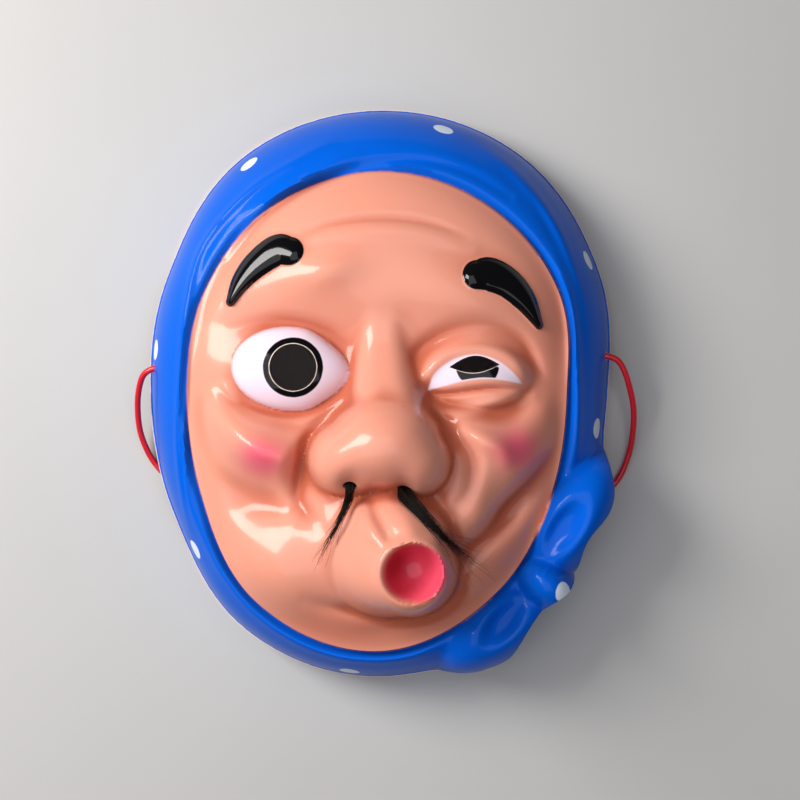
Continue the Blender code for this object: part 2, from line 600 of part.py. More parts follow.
# The moulded sheet: its outer face is given its thickness inwards, thinned to fewer triangles, then cut
shell = bpy.data.objects.new("mask_shell", sheet_mesh("mask_shell", RINGS, FACE_RINGS))
shell.data.materials.append(plain_material("peach_plastic", (0.86, 0.47, 0.31), 0.3))
mask.objects.link(shell)
thick = shell.modifiers.new("sheet_thickness", "SOLIDIFY")
thick.thickness = SHEET * MM
thick.offset = -1.0
thick.use_even_offset = True
thick.use_quality_normals = True
fewer = shell.modifiers.new("fewer_faces", "DECIMATE")
fewer.ratio = KEPT_FACES
holes = shell.modifiers.new("holes", "BOOLEAN")
holes.operation = "DIFFERENCE"
holes.solver = "EXACT"
holes.operand_type = "COLLECTION"
holes.collection = cutters

# The elastic cord and its tied ends
red = plain_material("red_elastic", (0.6, 0.02, 0.02), 0.5)
cord_points = even_points(CORD_ROUTE, CORD_STEP)
tube("head_cord", cord_points, [CORD_RADIUS] * len(cord_points), red, mask)
make_knot("left", CORD_ROUTE[0], CORD_ROUTE[1], red, mask)
make_knot("right", CORD_ROUTE[-1], CORD_ROUTE[-2], red, mask)

# The tufts of hair in the nostrils
black = plain_material("black_hair", (0.02, 0.015, 0.01), 0.6)
for side, stations in HAIR_ROUTES.items():
    route = [place + (radius,) for place, radius in zip(hair_route(stations), HAIR_RADII)]
    hair_points = even_points(route, HAIR_STEP)
    tube("nostril_hair_" + side, hair_points[:, :3], hair_points[:, 3], black, mask)
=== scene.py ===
"""A hyottoko mask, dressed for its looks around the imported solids.

The mask is one thin sheet of peach plastic, drawn over a mould and sprayed, with two tufts of hair
and an elastic cord. It lies on its rim with the face up, +Y towards the top of the head.
"""

import json
import math

import bpy
import numpy as np
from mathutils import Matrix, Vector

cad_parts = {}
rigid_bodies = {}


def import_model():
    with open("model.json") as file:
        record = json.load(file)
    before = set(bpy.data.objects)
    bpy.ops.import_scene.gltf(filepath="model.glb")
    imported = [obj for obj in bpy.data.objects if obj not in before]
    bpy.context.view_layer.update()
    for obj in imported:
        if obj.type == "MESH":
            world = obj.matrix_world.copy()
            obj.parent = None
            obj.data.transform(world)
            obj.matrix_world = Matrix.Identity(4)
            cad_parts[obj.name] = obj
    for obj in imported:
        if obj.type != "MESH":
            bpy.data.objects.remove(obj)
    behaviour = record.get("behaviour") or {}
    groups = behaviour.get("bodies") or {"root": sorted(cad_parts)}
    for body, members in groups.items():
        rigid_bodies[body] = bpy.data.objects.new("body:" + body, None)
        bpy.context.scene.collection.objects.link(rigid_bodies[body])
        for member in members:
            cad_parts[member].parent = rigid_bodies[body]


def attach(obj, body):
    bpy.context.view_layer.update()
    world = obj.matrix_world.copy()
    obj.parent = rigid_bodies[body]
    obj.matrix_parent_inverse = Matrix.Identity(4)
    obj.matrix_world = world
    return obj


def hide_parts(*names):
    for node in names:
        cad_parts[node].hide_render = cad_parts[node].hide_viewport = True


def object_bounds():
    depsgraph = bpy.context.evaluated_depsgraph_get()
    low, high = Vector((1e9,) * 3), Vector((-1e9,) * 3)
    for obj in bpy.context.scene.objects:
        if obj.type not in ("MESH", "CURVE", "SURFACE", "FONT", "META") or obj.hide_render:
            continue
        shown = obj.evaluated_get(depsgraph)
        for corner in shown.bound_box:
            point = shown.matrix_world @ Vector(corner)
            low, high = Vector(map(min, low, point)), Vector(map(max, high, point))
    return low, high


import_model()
cad_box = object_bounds()


# The sheet's outline
# One sheet of plastic is heated, drawn over a mould and trimmed along a narrow flange that it lies on.
# Its places are worked out in millimetres in plan, with the height as a function of them, and are
# written in metres.
MM = 0.001
SHEET = 1.0
FLANGE = 1.2
RINGS = 140
FACE_RINGS = 100
# Radii every 30 degrees from +X, of the trimmed edge and of the face's opening in the headscarf
RIM_RADII = (93.5, 103.9, 114.7, 117.3, 113.3, 100.8, 94.5, 98.4, 112.5, 117.3, 110.5, 97.0)
OPENING_RADII = (74.1, 81.4, 85.1, 86.7, 84.3, 79.5, 75.7, 81.1, 95.9, 102.0, 91.6, 78.7)
# The bow pushes the edge out at three places: angle, how wide in degrees, how far
BOW_BULGES = ((292.5, 7.5, 9.5), (316.0, 6.0, 5.5), (334.5, 8.5, 7.5))
OPENING_HEIGHT = 43.0
FACE_MIDDLE_HEIGHT = 58.0
FACE_ROUNDING = 2.7
RIM_ARCH = 6.0
ARCH_MIDDLE = -5.0
ARCH_START = 30.0
ARCH_END = 66.0
WALL_ROUNDING = 1.8
# The face is tucked under the scarf's edge: how deep, and how wide the dip is on the face and on the scarf
TUCK_DEPTH = 2.8
TUCK_ON_FACE = 7.0
TUCK_ON_SCARF = 1.6


def step(value, start, end):
    """0 before start, 1 past end, and smooth between them."""
    t = np.clip((value - start) / (end - start), 0.0, 1.0)
    return t * t * (3.0 - 2.0 * t)


def soft_max(a, b, blend):
    """The larger of two heights, rounded where they cross."""
    return 0.5 * (a + b + np.sqrt((a - b) ** 2 + blend ** 2))


def soft_min(a, b, blend):
    """The smaller of two heights, rounded where they cross."""
    return -soft_max(-a, -b, blend)


def between_stations(a, b, c, d, t):
    """A smooth curve from b to c, with a and d as the stations on either side."""
    return b + 0.5 * t * (c - a + t * (2 * a - 5 * b + 4 * c - d + t * (3 * (b - c) + d - a)))


def around(values, angle):
    """Read a ring of evenly spaced values smoothly at any angle."""
    values = np.asarray(values, float)
    place = np.mod(angle, 2 * np.pi) / (2 * np.pi) * len(values)
    first = np.floor(place).astype(int)
    near = [values[(first + k) % len(values)] for k in (-1, 0, 1, 2)]
    return between_stations(*near, place - first)


def in_oval(x, y, middle, size, turn):
    """How far a place is out from the middle of a turned oval, squared: 1 on its edge."""
    c = math.cos(math.radians(turn))
    s = math.sin(math.radians(turn))
    u = ((x - middle[0]) * c + (y - middle[1]) * s) / size[0]
    v = ((y - middle[1]) * c - (x - middle[0]) * s) / size[1]
    return u * u + v * v


def swell(x, y, middle, size, turn=0.0, edge=2.0):
    """A soft swelling: 1 at its middle, fading out past its size."""
    return np.exp(-in_oval(x, y, middle, size, turn) ** (edge / 2))


def dome(x, y, middle, size, turn=0.0):
    """A round dome: 1 at its middle, about 0 at its size, and falling away steeply outside."""
    q = in_oval(x, y, middle, size, turn)
    join = 0.92
    foot = math.sqrt(1 - join)
    return np.where(q < join, np.sqrt(np.clip(1.0 - q, 0, 1)), foot - (q - join) / (2 * foot))


def smooth_path(points, steps=8):
    """Run a smooth curve through a few stations."""
    p = np.asarray(points, float)
    p = np.vstack([2 * p[0] - p[1], p, 2 * p[-1] - p[-2]])
    out = []
    for k in range(len(p) - 3):
        for t in np.linspace(0, 1, steps, endpoint=False):
            out.append(between_stations(*p[k:k + 4], t))
    out.append(p[-2])
    return np.array(out)


def along(x, y, points, steps=8):
    """The distance to a path, and the path's other columns at the nearest place on it."""
    path = smooth_path(points, steps)
    best = np.full(x.shape, np.inf)
    rest = np.zeros(x.shape + (path.shape[1] - 2,))
    for a, b in zip(path[:-1], path[1:]):
        d = b[:2] - a[:2]
        t = np.clip(((x - a[0]) * d[0] + (y - a[1]) * d[1]) / (d @ d), 0, 1)
        gap = np.hypot(x - a[0] - t * d[0], y - a[1] - t * d[1])
        near = gap < best
        best = np.where(near, gap, best)
        rest = np.where(near[..., None], a[2:] + t[..., None] * (b[2:] - a[2:]), rest)
    return best, rest


def ridge(x, y, points):
    """A ridge or groove along stations of x, y, half width and rise."""
    gap, rest = along(x, y, points)
    return rest[..., 1] * np.exp(-(gap / rest[..., 0]) ** 2)


def cushion(x, y, points, crown):
    """A pillow over a tapering stroke of x, y, half width: 1 along its middle and 0 at its outline."""
    gap, rest = along(x, y, points)
    return 1.0 - np.clip(gap / rest[..., 0], 0, 1) ** crown


def stroke(x, y, points):
    """The signed distance to the outline of a tapering stroke of x, y, half width."""
    gap, rest = along(x, y, points)
    return gap - rest[..., 0]


def add_lines(z, x, y, lines):
    for points in lines.values():
        z = z + ridge(x, y, points)
    return z


def rim_radius(angle):
    degrees = np.degrees(np.mod(angle, 2 * np.pi))
    radius = around(RIM_RADII, angle)
    for at, wide, out in BOW_BULGES:
        radius = radius + out * np.exp(-((degrees - at) / wide) ** 2)
    return radius


def opening_radius(angle):
    return around(OPENING_RADII, angle)


def opening_height(angle):
    """The face opening lies a little lower at the sides and at the chin."""
    return OPENING_HEIGHT - 5.0 * np.cos(angle) ** 2 + 4.0 * np.sin(angle)


def rim_lift(y):
    """The rim arches up at the sides, where the cord passes under it."""
    return RIM_ARCH * (1.0 - step(np.abs(y - ARCH_MIDDLE), ARCH_START, ARCH_END))


# The brow bones, cheeks and jaw
# The mould's broad forms are soft swellings, and the folds of the grimace are ridges and creases
# along smooth lines.
# Each form: middle, half sizes, turn in degrees, how boxy its edge is, rise
BROAD_FORMS = {
    "forehead": ((0, 62), (46, 24), 0, 2.0, 2.5),
    "left brow bone": ((-21, 47), (14, 8), 15, 2.0, 4.2),
    "right brow bone": ((34, 38), (22, 9), -10, 2.0, 2.6),
    "left eye socket": ((-34, 10), (27, 21), 0, 2.8, -12.5),
    "right eye socket": ((35, 6), (26, 18), -6, 3.4, -9.5),
    "dip above the nose": ((3, 23), (24, 12), 0, 2.4, -5.0),
    "left cheek": ((-48, -19), (18, 12), -25, 2.6, 6.5),
    "right cheek": ((44, -24), (19, 15), -35, 2.8, 10.0),
    "right cheek foot": ((34, -43), (10, 15), 35, 2.4, 7.5),
    "right cheek bone": ((62, -12), (10, 14), 0, 2.4, 4.0),
    "mouth mound": ((-1, -64), (40, 20), 2, 2.3, 9.0),
    "left jowl": ((-43, -72), (21, 15), -38, 2.2, 6.0),
    "hollow under the mouth": ((22, -93), (36, 9), 16, 2.4, -4.0),
    "right jowl": ((50, -60), (9, 22), -38, 2.2, 2.0),
}
# Each line: stations of x, y, half width and rise
FACE_LINES = {
    "frown crease": ((-30, 60.5, 1.6, 0.0), (-19, 64.6, 1.7, -1.1), (-5, 66.6, 1.8, -1.5),
                     (10, 66.4, 1.8, -1.5), (23, 64.2, 1.7, -1.1), (36, 59.5, 1.6, 0.0)),
    "frown fold": ((-28, 57.0, 3.0, 0.0), (-19, 60.6, 3.2, 0.8), (-5, 62.4, 3.4, 1.2), (10, 62.2, 3.4, 1.2),
                   (23, 60.2, 3.2, 1.0), (36, 55.5, 3.0, 0.4)),
    "left cheek crest": ((-62, 20, 5.0, 0.0), (-64, 8, 5.5, 2.0), (-62.5, -4, 6.0, 4.0),
                         (-57, -13, 6.5, 5.0), (-48, -21, 7.5, 5.5), (-38, -25, 7.0, 4.5)),
    "left smile crease": ((-74, -29, 5.0, -0.3), (-64, -36.0, 7.0, -3.2), (-52, -41.0, 8.0, -5.0),
                          (-41, -43, 7.0, -4.6), (-31, -47, 5.0, -1.0)),
    "left nose crease": ((-9, -9, 2.5, -1.0), (-19, -13, 3.0, -3.4), (-26.5, -20, 3.6, -5.0),
                         (-30.5, -31, 3.8, -5.2), (-30, -42, 4.2, -4.2), (-24, -50, 4.0, -1.0)),
    "right nose crease": ((20, -6, 2.5, -1.0), (28, -13, 3.0, -2.5), (35, -24, 3.2, -3.0),
                          (34.5, -36, 3.4, -2.5), (29, -45, 3.4, -1.0)),
    "right cheek crest": ((22, -11, 3.0, 0.0), (30, -13.5, 3.6, 1.6), (39, -16.5, 4.0, 2.6),
                          (47, -22, 4.0, 2.4), (51, -29, 4.0, 0.6)),
    "right cheek fold": ((75, -20, 3.0, -1.0), (66, -29.5, 3.8, -5.0), (55.5, -40.5, 4.4, -7.5),
                         (45.0, -52, 4.4, -7.0), (36, -60.5, 4.0, -4.6), (29, -69, 4.0, -1.2)),
    "right jaw crease": ((74, -22, 2.0, -0.5), (70, -34, 2.4, -1.6), (64.5, -45.5, 2.6, -2.2),
                         (60.5, -57, 2.6, -2.6), (57, -69, 2.8, -2.4), (46, -84, 3.4, -1.6),
                         (30, -93, 4.0, -0.6)),
    "crease under the mouth": ((-28, -80, 3.0, -0.5), (-20, -82.5, 3.0, -1.4), (-6, -84.5, 3.2, -2.6),
                               (8, -86.0, 3.4, -3.2), (21, -84.0, 3.2, -3.0), (32, -77, 3.2, -1.8)),
}


# The eyes and brows
# The left eye is a bulging ball around the sight hole. The right one winks: a slit under a heavy lid.
# Both brows are raised commas in the mould.
WINK_LINES = {
    "upper lid": ((16.0, -3.0, 2.4, 1.0), (17.4, 7.0, 3.0, 2.6), (26.5, 16.4, 3.6, 3.6),
                  (39.0, 19.0, 3.8, 3.8), (51.0, 14.6, 3.4, 3.0), (59.5, 4.0, 3.0, 0.8)),
    "fold above the lid": ((12.0, 3.0, 2.2, -0.4), (13.5, 14.0, 2.4, -1.0), (25.0, 24.0, 2.8, -1.2),
                           (41.0, 26.8, 2.8, -1.2), (55.0, 21.0, 2.4, -1.6), (63.0, 8.0, 2.0, -0.8)),
    "lower lid": ((16.0, -1.0, 2.2, 1.0), (21.0, -5.4, 2.6, 2.8), (31.0, -7.4, 3.0, 3.0),
                  (46.0, -4.2, 3.0, 3.0), (59.5, -1.0, 2.6, 1.0)),
    "crease under the eye": ((20.5, -0.6, 1.1, -0.8), (30.0, 0.2, 1.3, -2.4), (42.0, 1.6, 1.3, -2.4),
                             (55.0, 1.2, 1.1, -0.8)),
}
LEFT_EYE = (-34.3, 9.3)
LEFT_EYE_HALF = (22.6, 16.2)
EYEBALL_FOOT = 49.0
EYEBALL_RISE = 10.5
LEFT_BROW = ((-34.4, 54.6, 5.6), (-39.5, 55.0, 6.2), (-47.6, 49.6, 5.4), (-53.5, 43.0, 4.0),
             (-57.6, 35.4, 1.9))
RIGHT_BROW = ((37.8, 45.4, 5.8), (42.8, 45.6, 6.7), (50.0, 42.2, 6.0), (56.6, 35.5, 4.6), (62.0, 26.4, 1.8))
BROW_RISE = 2.8
BROW_CROWN = 2.6
WINK_BALL = ((36.5, 6.5), (21, 13))
WINK_FOOT = 46.5
WINK_RISE = 10.0


def eye_white(x, y):
    """About the signed distance to the outline of the round eye, which points towards the nose."""
    u = (x - LEFT_EYE[0]) / LEFT_EYE_HALF[0]
    v = (y - LEFT_EYE[1]) / LEFT_EYE_HALF[1]
    slim = 1.0 - 0.22 * step(u, 0.2, 1.0)
    lean = v + 0.05 * u
    return (np.hypot(u, lean / slim) - 1.0) * LEFT_EYE_HALF[1]


def add_eyes(z, x, y):
    white = eye_white(x, y)
    inside = np.clip(-white / LEFT_EYE_HALF[1], 0, 1)
    ball = EYEBALL_FOOT + EYEBALL_RISE * np.sqrt(1.0 - (1.0 - inside) ** 2) - 0.5 * np.maximum(white, 0)
    z = soft_max(z, ball, 1.2)
    z = z + 1.2 * np.exp(-((white - 3.4) / 1.8) ** 2) * step(LEFT_EYE[1] - 3 - y, 0, 8)
    ball = WINK_FOOT + WINK_RISE * dome(x, y, *WINK_BALL)
    z = soft_max(z, ball, 2.0)
    return add_lines(z, x, y, WINK_LINES)


# The nose
# A broad low nose: a bridge along stations of x, y, half width and height, then a ball and two wings
NOSE_BRIDGE = ((1.5, 32, 10.0, 53.0), (1.3, 20, 11.0, 55.0), (1.6, 10.6, 12.0, 59.0), (2.4, 0, 13.0, 65.5),
               (3.0, -8, 14.0, 72.0), (3.2, -14, 14.0, 75.5), (3.2, -19, 13.0, 76.5))
NOSE_BALL = ((2.5, -19.5), (22.0, 17.5), 0)
NOSE_WINGS = (((-10.5, -24.5), (17.0, 15.0), 12), ((14.0, -26.0), (14.5, 14.5), 20))
NOSE_BALL_FOOT = 58.0
NOSE_BALL_RISE = 26.0
NOSE_WING_FOOT = 54.0
NOSE_WING_RISE = 25.0
NOSTRILS = ((-10.8, -34.8), (9.8, -36.2))
NOSTRIL_DENTS = (((-10.8, -34.6), (4.8, 4.0), 60), ((9.6, -36.2), (5.0, 4.2), 120))
NOSTRIL_DEPTH = 4.0


def add_nose(z, x, y):
    bridge, rest = along(x, y, NOSE_BRIDGE)
    z = soft_max(z, rest[..., 1] - 9.0 * (bridge / rest[..., 0]) ** 3, 3.0)
    left, right = [NOSE_WING_FOOT + NOSE_WING_RISE * dome(x, y, *wing) for wing in NOSE_WINGS]
    z = soft_max(z, soft_max(left, right, 3.0), 3.2)
    ball = NOSE_BALL_FOOT + NOSE_BALL_RISE * dome(x, y, *NOSE_BALL)
    return soft_max(z, ball, 5.0)


# The puckered mouth
# The lips are drawn out to one side into a short tube, closed by a round dish
LIP_LINES = {
    "left ridge": ((-8, -40, 3.6, 0.8), (-6.0, -46, 3.8, 1.8), (-1.5, -53, 3.6, 1.8), (5, -59, 3.0, 0.5)),
    "right ridge": ((5, -41, 4.2, 0.8), (9.0, -46, 4.8, 1.8), (12, -52, 4.6, 1.8), (14, -57, 3.4, 0.4)),
    "groove between": ((-3.5, -40, 1.6, -0.6), (-0.8, -46, 1.7, -1.6), (4.2, -54, 1.7, -1.4)),
}
MOUTH = (12.0, -67.2)
MOUTH_RADIUS = 10.8
MOUTH_HEIGHT = 79.5
LIP_RADIUS = 11.5
LIP_HEIGHT = 81.0
LIP_THICKNESS = 3.3
CUP = (13.0, -66.9)
CUP_RADIUS = 10.6
CUP_FLOOR = 64.0
CUP_DEPTH = 15.5


def add_mouth(z, x, y):
    """A short tube, drawn out of the face towards the lower right, with a closed dish in its end."""
    upper_lip = 42.0 + 25.0 * swell(x, y, (5, -48), (21, 15), 0, 3.2)
    z = soft_max(z, upper_lip, 3.0)
    ring = np.hypot(x - MOUTH[0], y - MOUTH[1])
    heading = np.arctan2(y - MOUTH[1], x - MOUTH[0])
    reach = (1.25 + 0.95 * np.cos(heading - math.radians(150))) * (1.0 + 0.25 * np.sin(heading))
    outside = np.maximum(ring - MOUTH_RADIUS, 0.0) / soft_max(reach, 0.55, 0.2)
    tube = MOUTH_HEIGHT - 0.7 * outside - 0.16 * outside ** 2
    z = soft_max(z, np.maximum(tube, 40.0), 4.0)
    z = add_lines(z, x, y, LIP_LINES)
    lean = 0.06 * (y - MOUTH[1]) - 0.05 * (x - MOUTH[0])
    lip = LIP_HEIGHT + lean - 5.0 * ((ring - LIP_RADIUS) / LIP_THICKNESS) ** 2
    z = soft_max(z, np.maximum(lip, 40.0), 1.6)
    cup = np.hypot(x - CUP[0], y - CUP[1]) / CUP_RADIUS
    return np.where(cup < 1.5, soft_min(z, CUP_FLOOR + CUP_DEPTH * cup ** 3.2, 1.8), z)


# The headscarf
# A cloth tied under the cheek, moulded in the same sheet: folds around the face, a knot and its two loops
SCARF_LINES = {
    "tuck beside the face": ((-57, 51, 1.6, -0.4), (-45.6, 66.5, 1.8, -1.6), (-30.8, 78.2, 1.8, -1.8),
                             (-11.3, 87.6, 1.8, -1.8), (2.3, 90.3, 1.8, -1.8), (17.8, 90.6, 1.8, -1.6),
                             (35.3, 86.0, 1.8, -1.2), (50.9, 77.0, 1.8, -0.6)),
    "inner fold": ((-5, 95, 2.4, 0.0), (-21, 88, 1.8, 1.3), (-36, 79.5, 1.6, 1.9), (-49, 68, 1.6, 1.8),
                   (-60, 53, 1.6, 0.8)),
    "outer fold and hem": ((-15, 101, 2.4, 0.0), (-31.0, 92.0, 1.8, 1.3), (-51.8, 78.6, 1.6, 1.9),
                           (-70.2, 57.0, 1.6, 2.0), (-76.0, 30.6, 1.8, 2.0), (-78.4, 5.1, 1.5, 2.0),
                           (-79.6, -18.4, 1.4, 1.8), (-78.4, -38.1, 1.4, 1.4), (-75.3, -57.8, 1.4, 0.0)),
    "inner hem": ((-66.0, 50.0, 1.4, 0.0), (-73.1, 28.8, 1.3, 1.0), (-75.5, 5.1, 1.2, 1.8),
                  (-76.6, -18.4, 1.2, 1.8), (-75.5, -38.0, 1.2, 1.2), (-72.7, -55.7, 1.2, 0.0)),
    "lower hem": ((-75.0, -40.0, 1.6, 0.0), (-71.5, -52.0, 1.8, 1.4), (-60.5, -73.0, 2.0, 2.0),
                  (-42.5, -92.0, 2.0, 2.0), (-18.0, -103.3, 2.0, 2.0), (9.0, -104.6, 2.0, 1.6),
                  (28.0, -98.0, 2.0, 0.0)),
    "right fold": ((36, 100, 3.0, 0.0), (53.0, 88, 2.8, 1.8), (67.5, 69.0, 2.8, 2.4),
                   (75.5, 49.0, 2.8, 1.6), (80, 25, 2.6, 0.0)),
    "right roll": ((66, 56, 2.2, 0.0), (73.6, 38.7, 2.4, 2.0), (77.5, 5.1, 2.4, 3.0),
                   (77.5, -18.4, 2.4, 2.6), (74, -34, 2.2, 0.4)),
    "right tuck": ((56, 85, 2.0, 0.0), (71, 58, 2.2, -1.2), (77, 40, 2.0, -1.0), (80, 22, 2.0, 0.0)),
}
BOW_LOOPS = (((76.5, -50.0), (28.0, 15.5), 60, 22.0, 27.0), ((46.5, -92.5), (27.5, 15.0), 33, 20.0, 26.0))
BOW_KNOT = ((66.0, -75.5), (11.5, 15.5), 50, 20.0, 30.0)
BOW_DENTS = (((72.3, -52.5), (11.5, 5.2), 58), ((48.5, -90.0), (10.5, 5.0), 47))
BOW_DENT_DEPTH = 6.5
# Small gathers where the loops run into the knot
GATHERS = {
    "first gather": ((55.5, -71.5, 0.9, 0.0), (58.6, -68.3, 0.9, 0.7), (61.0, -64.6, 0.9, 0.0)),
    "second gather": ((58.0, -73.0, 0.9, 0.0), (61.6, -69.4, 0.9, 0.8), (64.4, -65.2, 0.9, 0.0)),
    "third gather": ((61.5, -72.5, 0.9, 0.0), (64.8, -69.6, 0.9, 0.7), (68.2, -66.0, 0.9, 0.0)),
    "lower gather": ((57.0, -82.0, 0.9, 0.0), (59.6, -79.4, 0.9, 0.6), (62.4, -78.0, 0.9, 0.0)),
}


def add_bow(z, x, y):
    """The knot and its two dented loops, standing on the scarf."""
    for middle, size, turn, foot, rise in BOW_LOOPS:
        z = soft_max(z, foot + rise * dome(x, y, middle, size, turn), 3.0)
    middle, size, turn, foot, rise = BOW_KNOT
    z = soft_max(z, foot + rise * dome(x, y, middle, size, turn), 2.5)
    for middle, size, turn in BOW_DENTS:
        z = z - BOW_DENT_DEPTH * swell(x, y, middle, size, turn, 3.2)
    return add_lines(z, x, y, GATHERS)


# Drawing, trimming and punching
# The outer face is wrapped over the mould's height and given the sheet's thickness inwards.
# Then the sight hole, the slit, the nostrils and the cord's holes are cut.
def face_height(x, y, rho, angle):
    z = FACE_MIDDLE_HEIGHT + (opening_height(angle) - FACE_MIDDLE_HEIGHT) * rho ** FACE_ROUNDING
    for middle, size, turn, edge, rise in BROAD_FORMS.values():
        z = z + rise * swell(x, y, middle, size, turn, edge)
    z = add_lines(z, x, y, FACE_LINES)
    z = add_eyes(z, x, y)
    z = add_nose(z, x, y)
    z = add_mouth(z, x, y)
    for middle, size, turn in NOSTRIL_DENTS:
        z = z - NOSTRIL_DEPTH * swell(x, y, middle, size, turn)
    for brow in (LEFT_BROW, RIGHT_BROW):
        z = z + BROW_RISE * cushion(x, y, brow, BROW_CROWN)
    return z
def sheet_height(x, y):
    """The height of the sheet's outer face anywhere in plan."""
    angle = np.mod(np.arctan2(y, x), 2 * np.pi)
    radius = np.hypot(x, y)
    opening = opening_radius(angle)
    wall = rim_radius(angle) - FLANGE
    rho = np.clip(radius / opening, 0, 1)
    t = np.clip((radius - opening) / (wall - opening), 0, 1)
    in_face = rho < 1.0 - 1e-9
    scarf = opening_height(angle) * np.clip(1.0 - t ** WALL_ROUNDING, 0, 1) ** (1 / WALL_ROUNDING)
    z = np.where(in_face, face_height(x, y, rho, angle), scarf)
    fade = np.where(in_face, np.exp(-((rho - 1.0) / 0.035) ** 2), step(1.0 - t, 0.0, 0.15))
    z = z + fade * add_lines(np.zeros_like(z), x, y, SCARF_LINES)
    z = z - TUCK_DEPTH * np.exp(-((radius - opening) / np.where(in_face, TUCK_ON_FACE, TUCK_ON_SCARF)) ** 2)
    foot = SHEET + rim_lift(y)
    on_scarf = add_bow(z, x, y) * step(1.0 - t, 0.0, 0.02)
    on_scarf = foot + np.maximum(on_scarf - SHEET, 0) * (1.0 - foot / 60.0)
    z = np.where(in_face, z, on_scarf)
    return np.where(radius > wall + 1e-6, foot, z)


def sheet_place(r, angle, rings, face_rings):
    """Where a ring of the sheet lies in plan: r runs from 0 in the middle to 1 at the flange's edge."""
    face_end = face_rings / rings
    wall_end = 1.0 - 1.0 / rings
    opening = opening_radius(angle)
    rim = rim_radius(angle)
    rho = np.clip(r / face_end, 0, 1)
    t = np.sin(np.clip((r - face_end) / (wall_end - face_end), 0, 1) * np.pi / 2)
    radius = opening * rho + (rim - FLANGE - opening) * t
    radius = np.where(r > wall_end + 1e-6, rim, radius)
    return radius * np.cos(angle), radius * np.sin(angle)


def sheet_mesh(name, rings, face_rings):
    """A square grid wrapped onto the rings of the mask, so that no ring closes on a single point."""
    side = 2 * rings + 1
    row, column = np.meshgrid(np.arange(side), np.arange(side), indexing="ij")
    a = (column - rings) / rings
    b = (row - rings) / rings
    across = np.abs(a) >= np.abs(b)
    wide = np.where(across, a, b)
    slim = np.where(across, b, a)
    turn = np.pi / 4 * slim / np.where(wide == 0, 1, wide)
    angle = np.where(across, turn, np.pi / 2 - turn) + np.where(wide < 0, np.pi, 0)
    x, y = sheet_place(np.abs(wide), np.mod(angle, 2 * np.pi), rings, face_rings)
    z = sheet_height(x, y)
    places = np.stack([x, y, z], axis=-1).reshape(-1, 3) * MM
    index = np.arange(side * side).reshape(side, side)
    corners = (index[:-1, :-1], index[:-1, 1:], index[1:, 1:], index[1:, :-1])
    quads = np.stack(corners, axis=-1).reshape(-1, 4)
    mesh = bpy.data.meshes.new(name)
    mesh.from_pydata(places.tolist(), [], quads.tolist())
    return mesh


EYE_HOLE = (-32.8, 9.8)
EYE_HOLE_RADIUS = 9.0
SLIT_LEFT = (27.0, 9.9)
SLIT_RIGHT = (46.4, 10.9)
SLIT_RISE = 3.9
SLIT_SAG = 2.7
NOSTRIL_RADIUS = 2.7
NOSTRIL_TILT = math.radians(40)
CORD_HOLES = ((-90.4, 10.0), (90.4, 15.0))
CORD_HOLE_RADIUS = 2.0
CORD_HOLE_HEIGHT = 20.0


def sheet_point(x, y):
    """The height of the sheet's outer face at one place."""
    return float(sheet_height(np.array([float(x)]), np.array([float(y)]))[0])


def nostril_direction():
    return np.array([0.0, -math.sin(NOSTRIL_TILT), math.cos(NOSTRIL_TILT)])


def slit_outline(steps=16):
    """The lens-shaped slit of the winking eye, in plan."""
    places = []
    for k in range(2 * steps):
        t = k / steps if k < steps else 2.0 - k / steps
        bulge = -SLIT_SAG if k < steps else SLIT_RISE
        x = SLIT_LEFT[0] + (SLIT_RIGHT[0] - SLIT_LEFT[0]) * t
        y = SLIT_LEFT[1] + (SLIT_RIGHT[1] - SLIT_LEFT[1]) * t + bulge * math.sin(math.pi * t)
        places.append((x, y))
    return places


def punch(name, bottom, top, material):
    """A closed solid between two loops, for cutting a hole."""
    count = len(bottom)
    faces = [tuple(reversed(range(count))), tuple(range(count, 2 * count))]
    for k in range(count):
        after = (k + 1) % count
        faces.append((k, after, count + after, count + k))
    mesh = bpy.data.meshes.new(name)
    mesh.from_pydata([tuple(c * MM for c in place) for place in bottom + top], [], faces)
    mesh.materials.append(material)
    return bpy.data.objects.new(name, mesh)


def round_punch(name, middle, direction, radius, reach, material, sides=64):
    side = np.cross(direction, (0.0, 1.0, 0.0))
    side = side / np.linalg.norm(side)
    up = np.cross(direction, side)
    turns = np.linspace(0, 2 * np.pi, sides, endpoint=False)
    ring = [radius * (math.cos(a) * side + math.sin(a) * up) for a in turns]
    bottom = [tuple(middle - reach * direction + place) for place in ring]
    top = [tuple(middle + reach * direction + place) for place in ring]
    return punch(name, bottom, top, material)


def make_punches(material):
    """The sight hole, the slit, the nostrils and the two holes for the cord."""
    straight_up = np.array([0.0, 0.0, 1.0])
    sideways = np.array([1.0, 0.0, 0.0])
    eye = np.array([*EYE_HOLE, 55.0])
    punches = [round_punch("eye_punch", eye, straight_up, EYE_HOLE_RADIUS, 15.0, material)]
    slit_low, slit_high = [[(x, y, z) for x, y in slit_outline()] for z in (35.0, 75.0)]
    punches.append(punch("slit_punch", slit_low, slit_high, material))
    for x, y in NOSTRILS:
        middle = np.array([x, y, sheet_point(x, y)])
        way = nostril_direction()
        punches.append(round_punch("nostril_punch", middle, way, NOSTRIL_RADIUS, 6.0, material))
    for x, y in CORD_HOLES:
        middle = np.array([x, y, CORD_HOLE_HEIGHT])
        punches.append(round_punch("cord_punch", middle, sideways, CORD_HOLE_RADIUS, 6.0, material))
    return punches


def finished_mesh(obj):
    """An object's mesh with its modifiers worked out."""
    depsgraph = bpy.context.evaluated_depsgraph_get()
    return bpy.data.meshes.new_from_object(obj.evaluated_get(depsgraph))


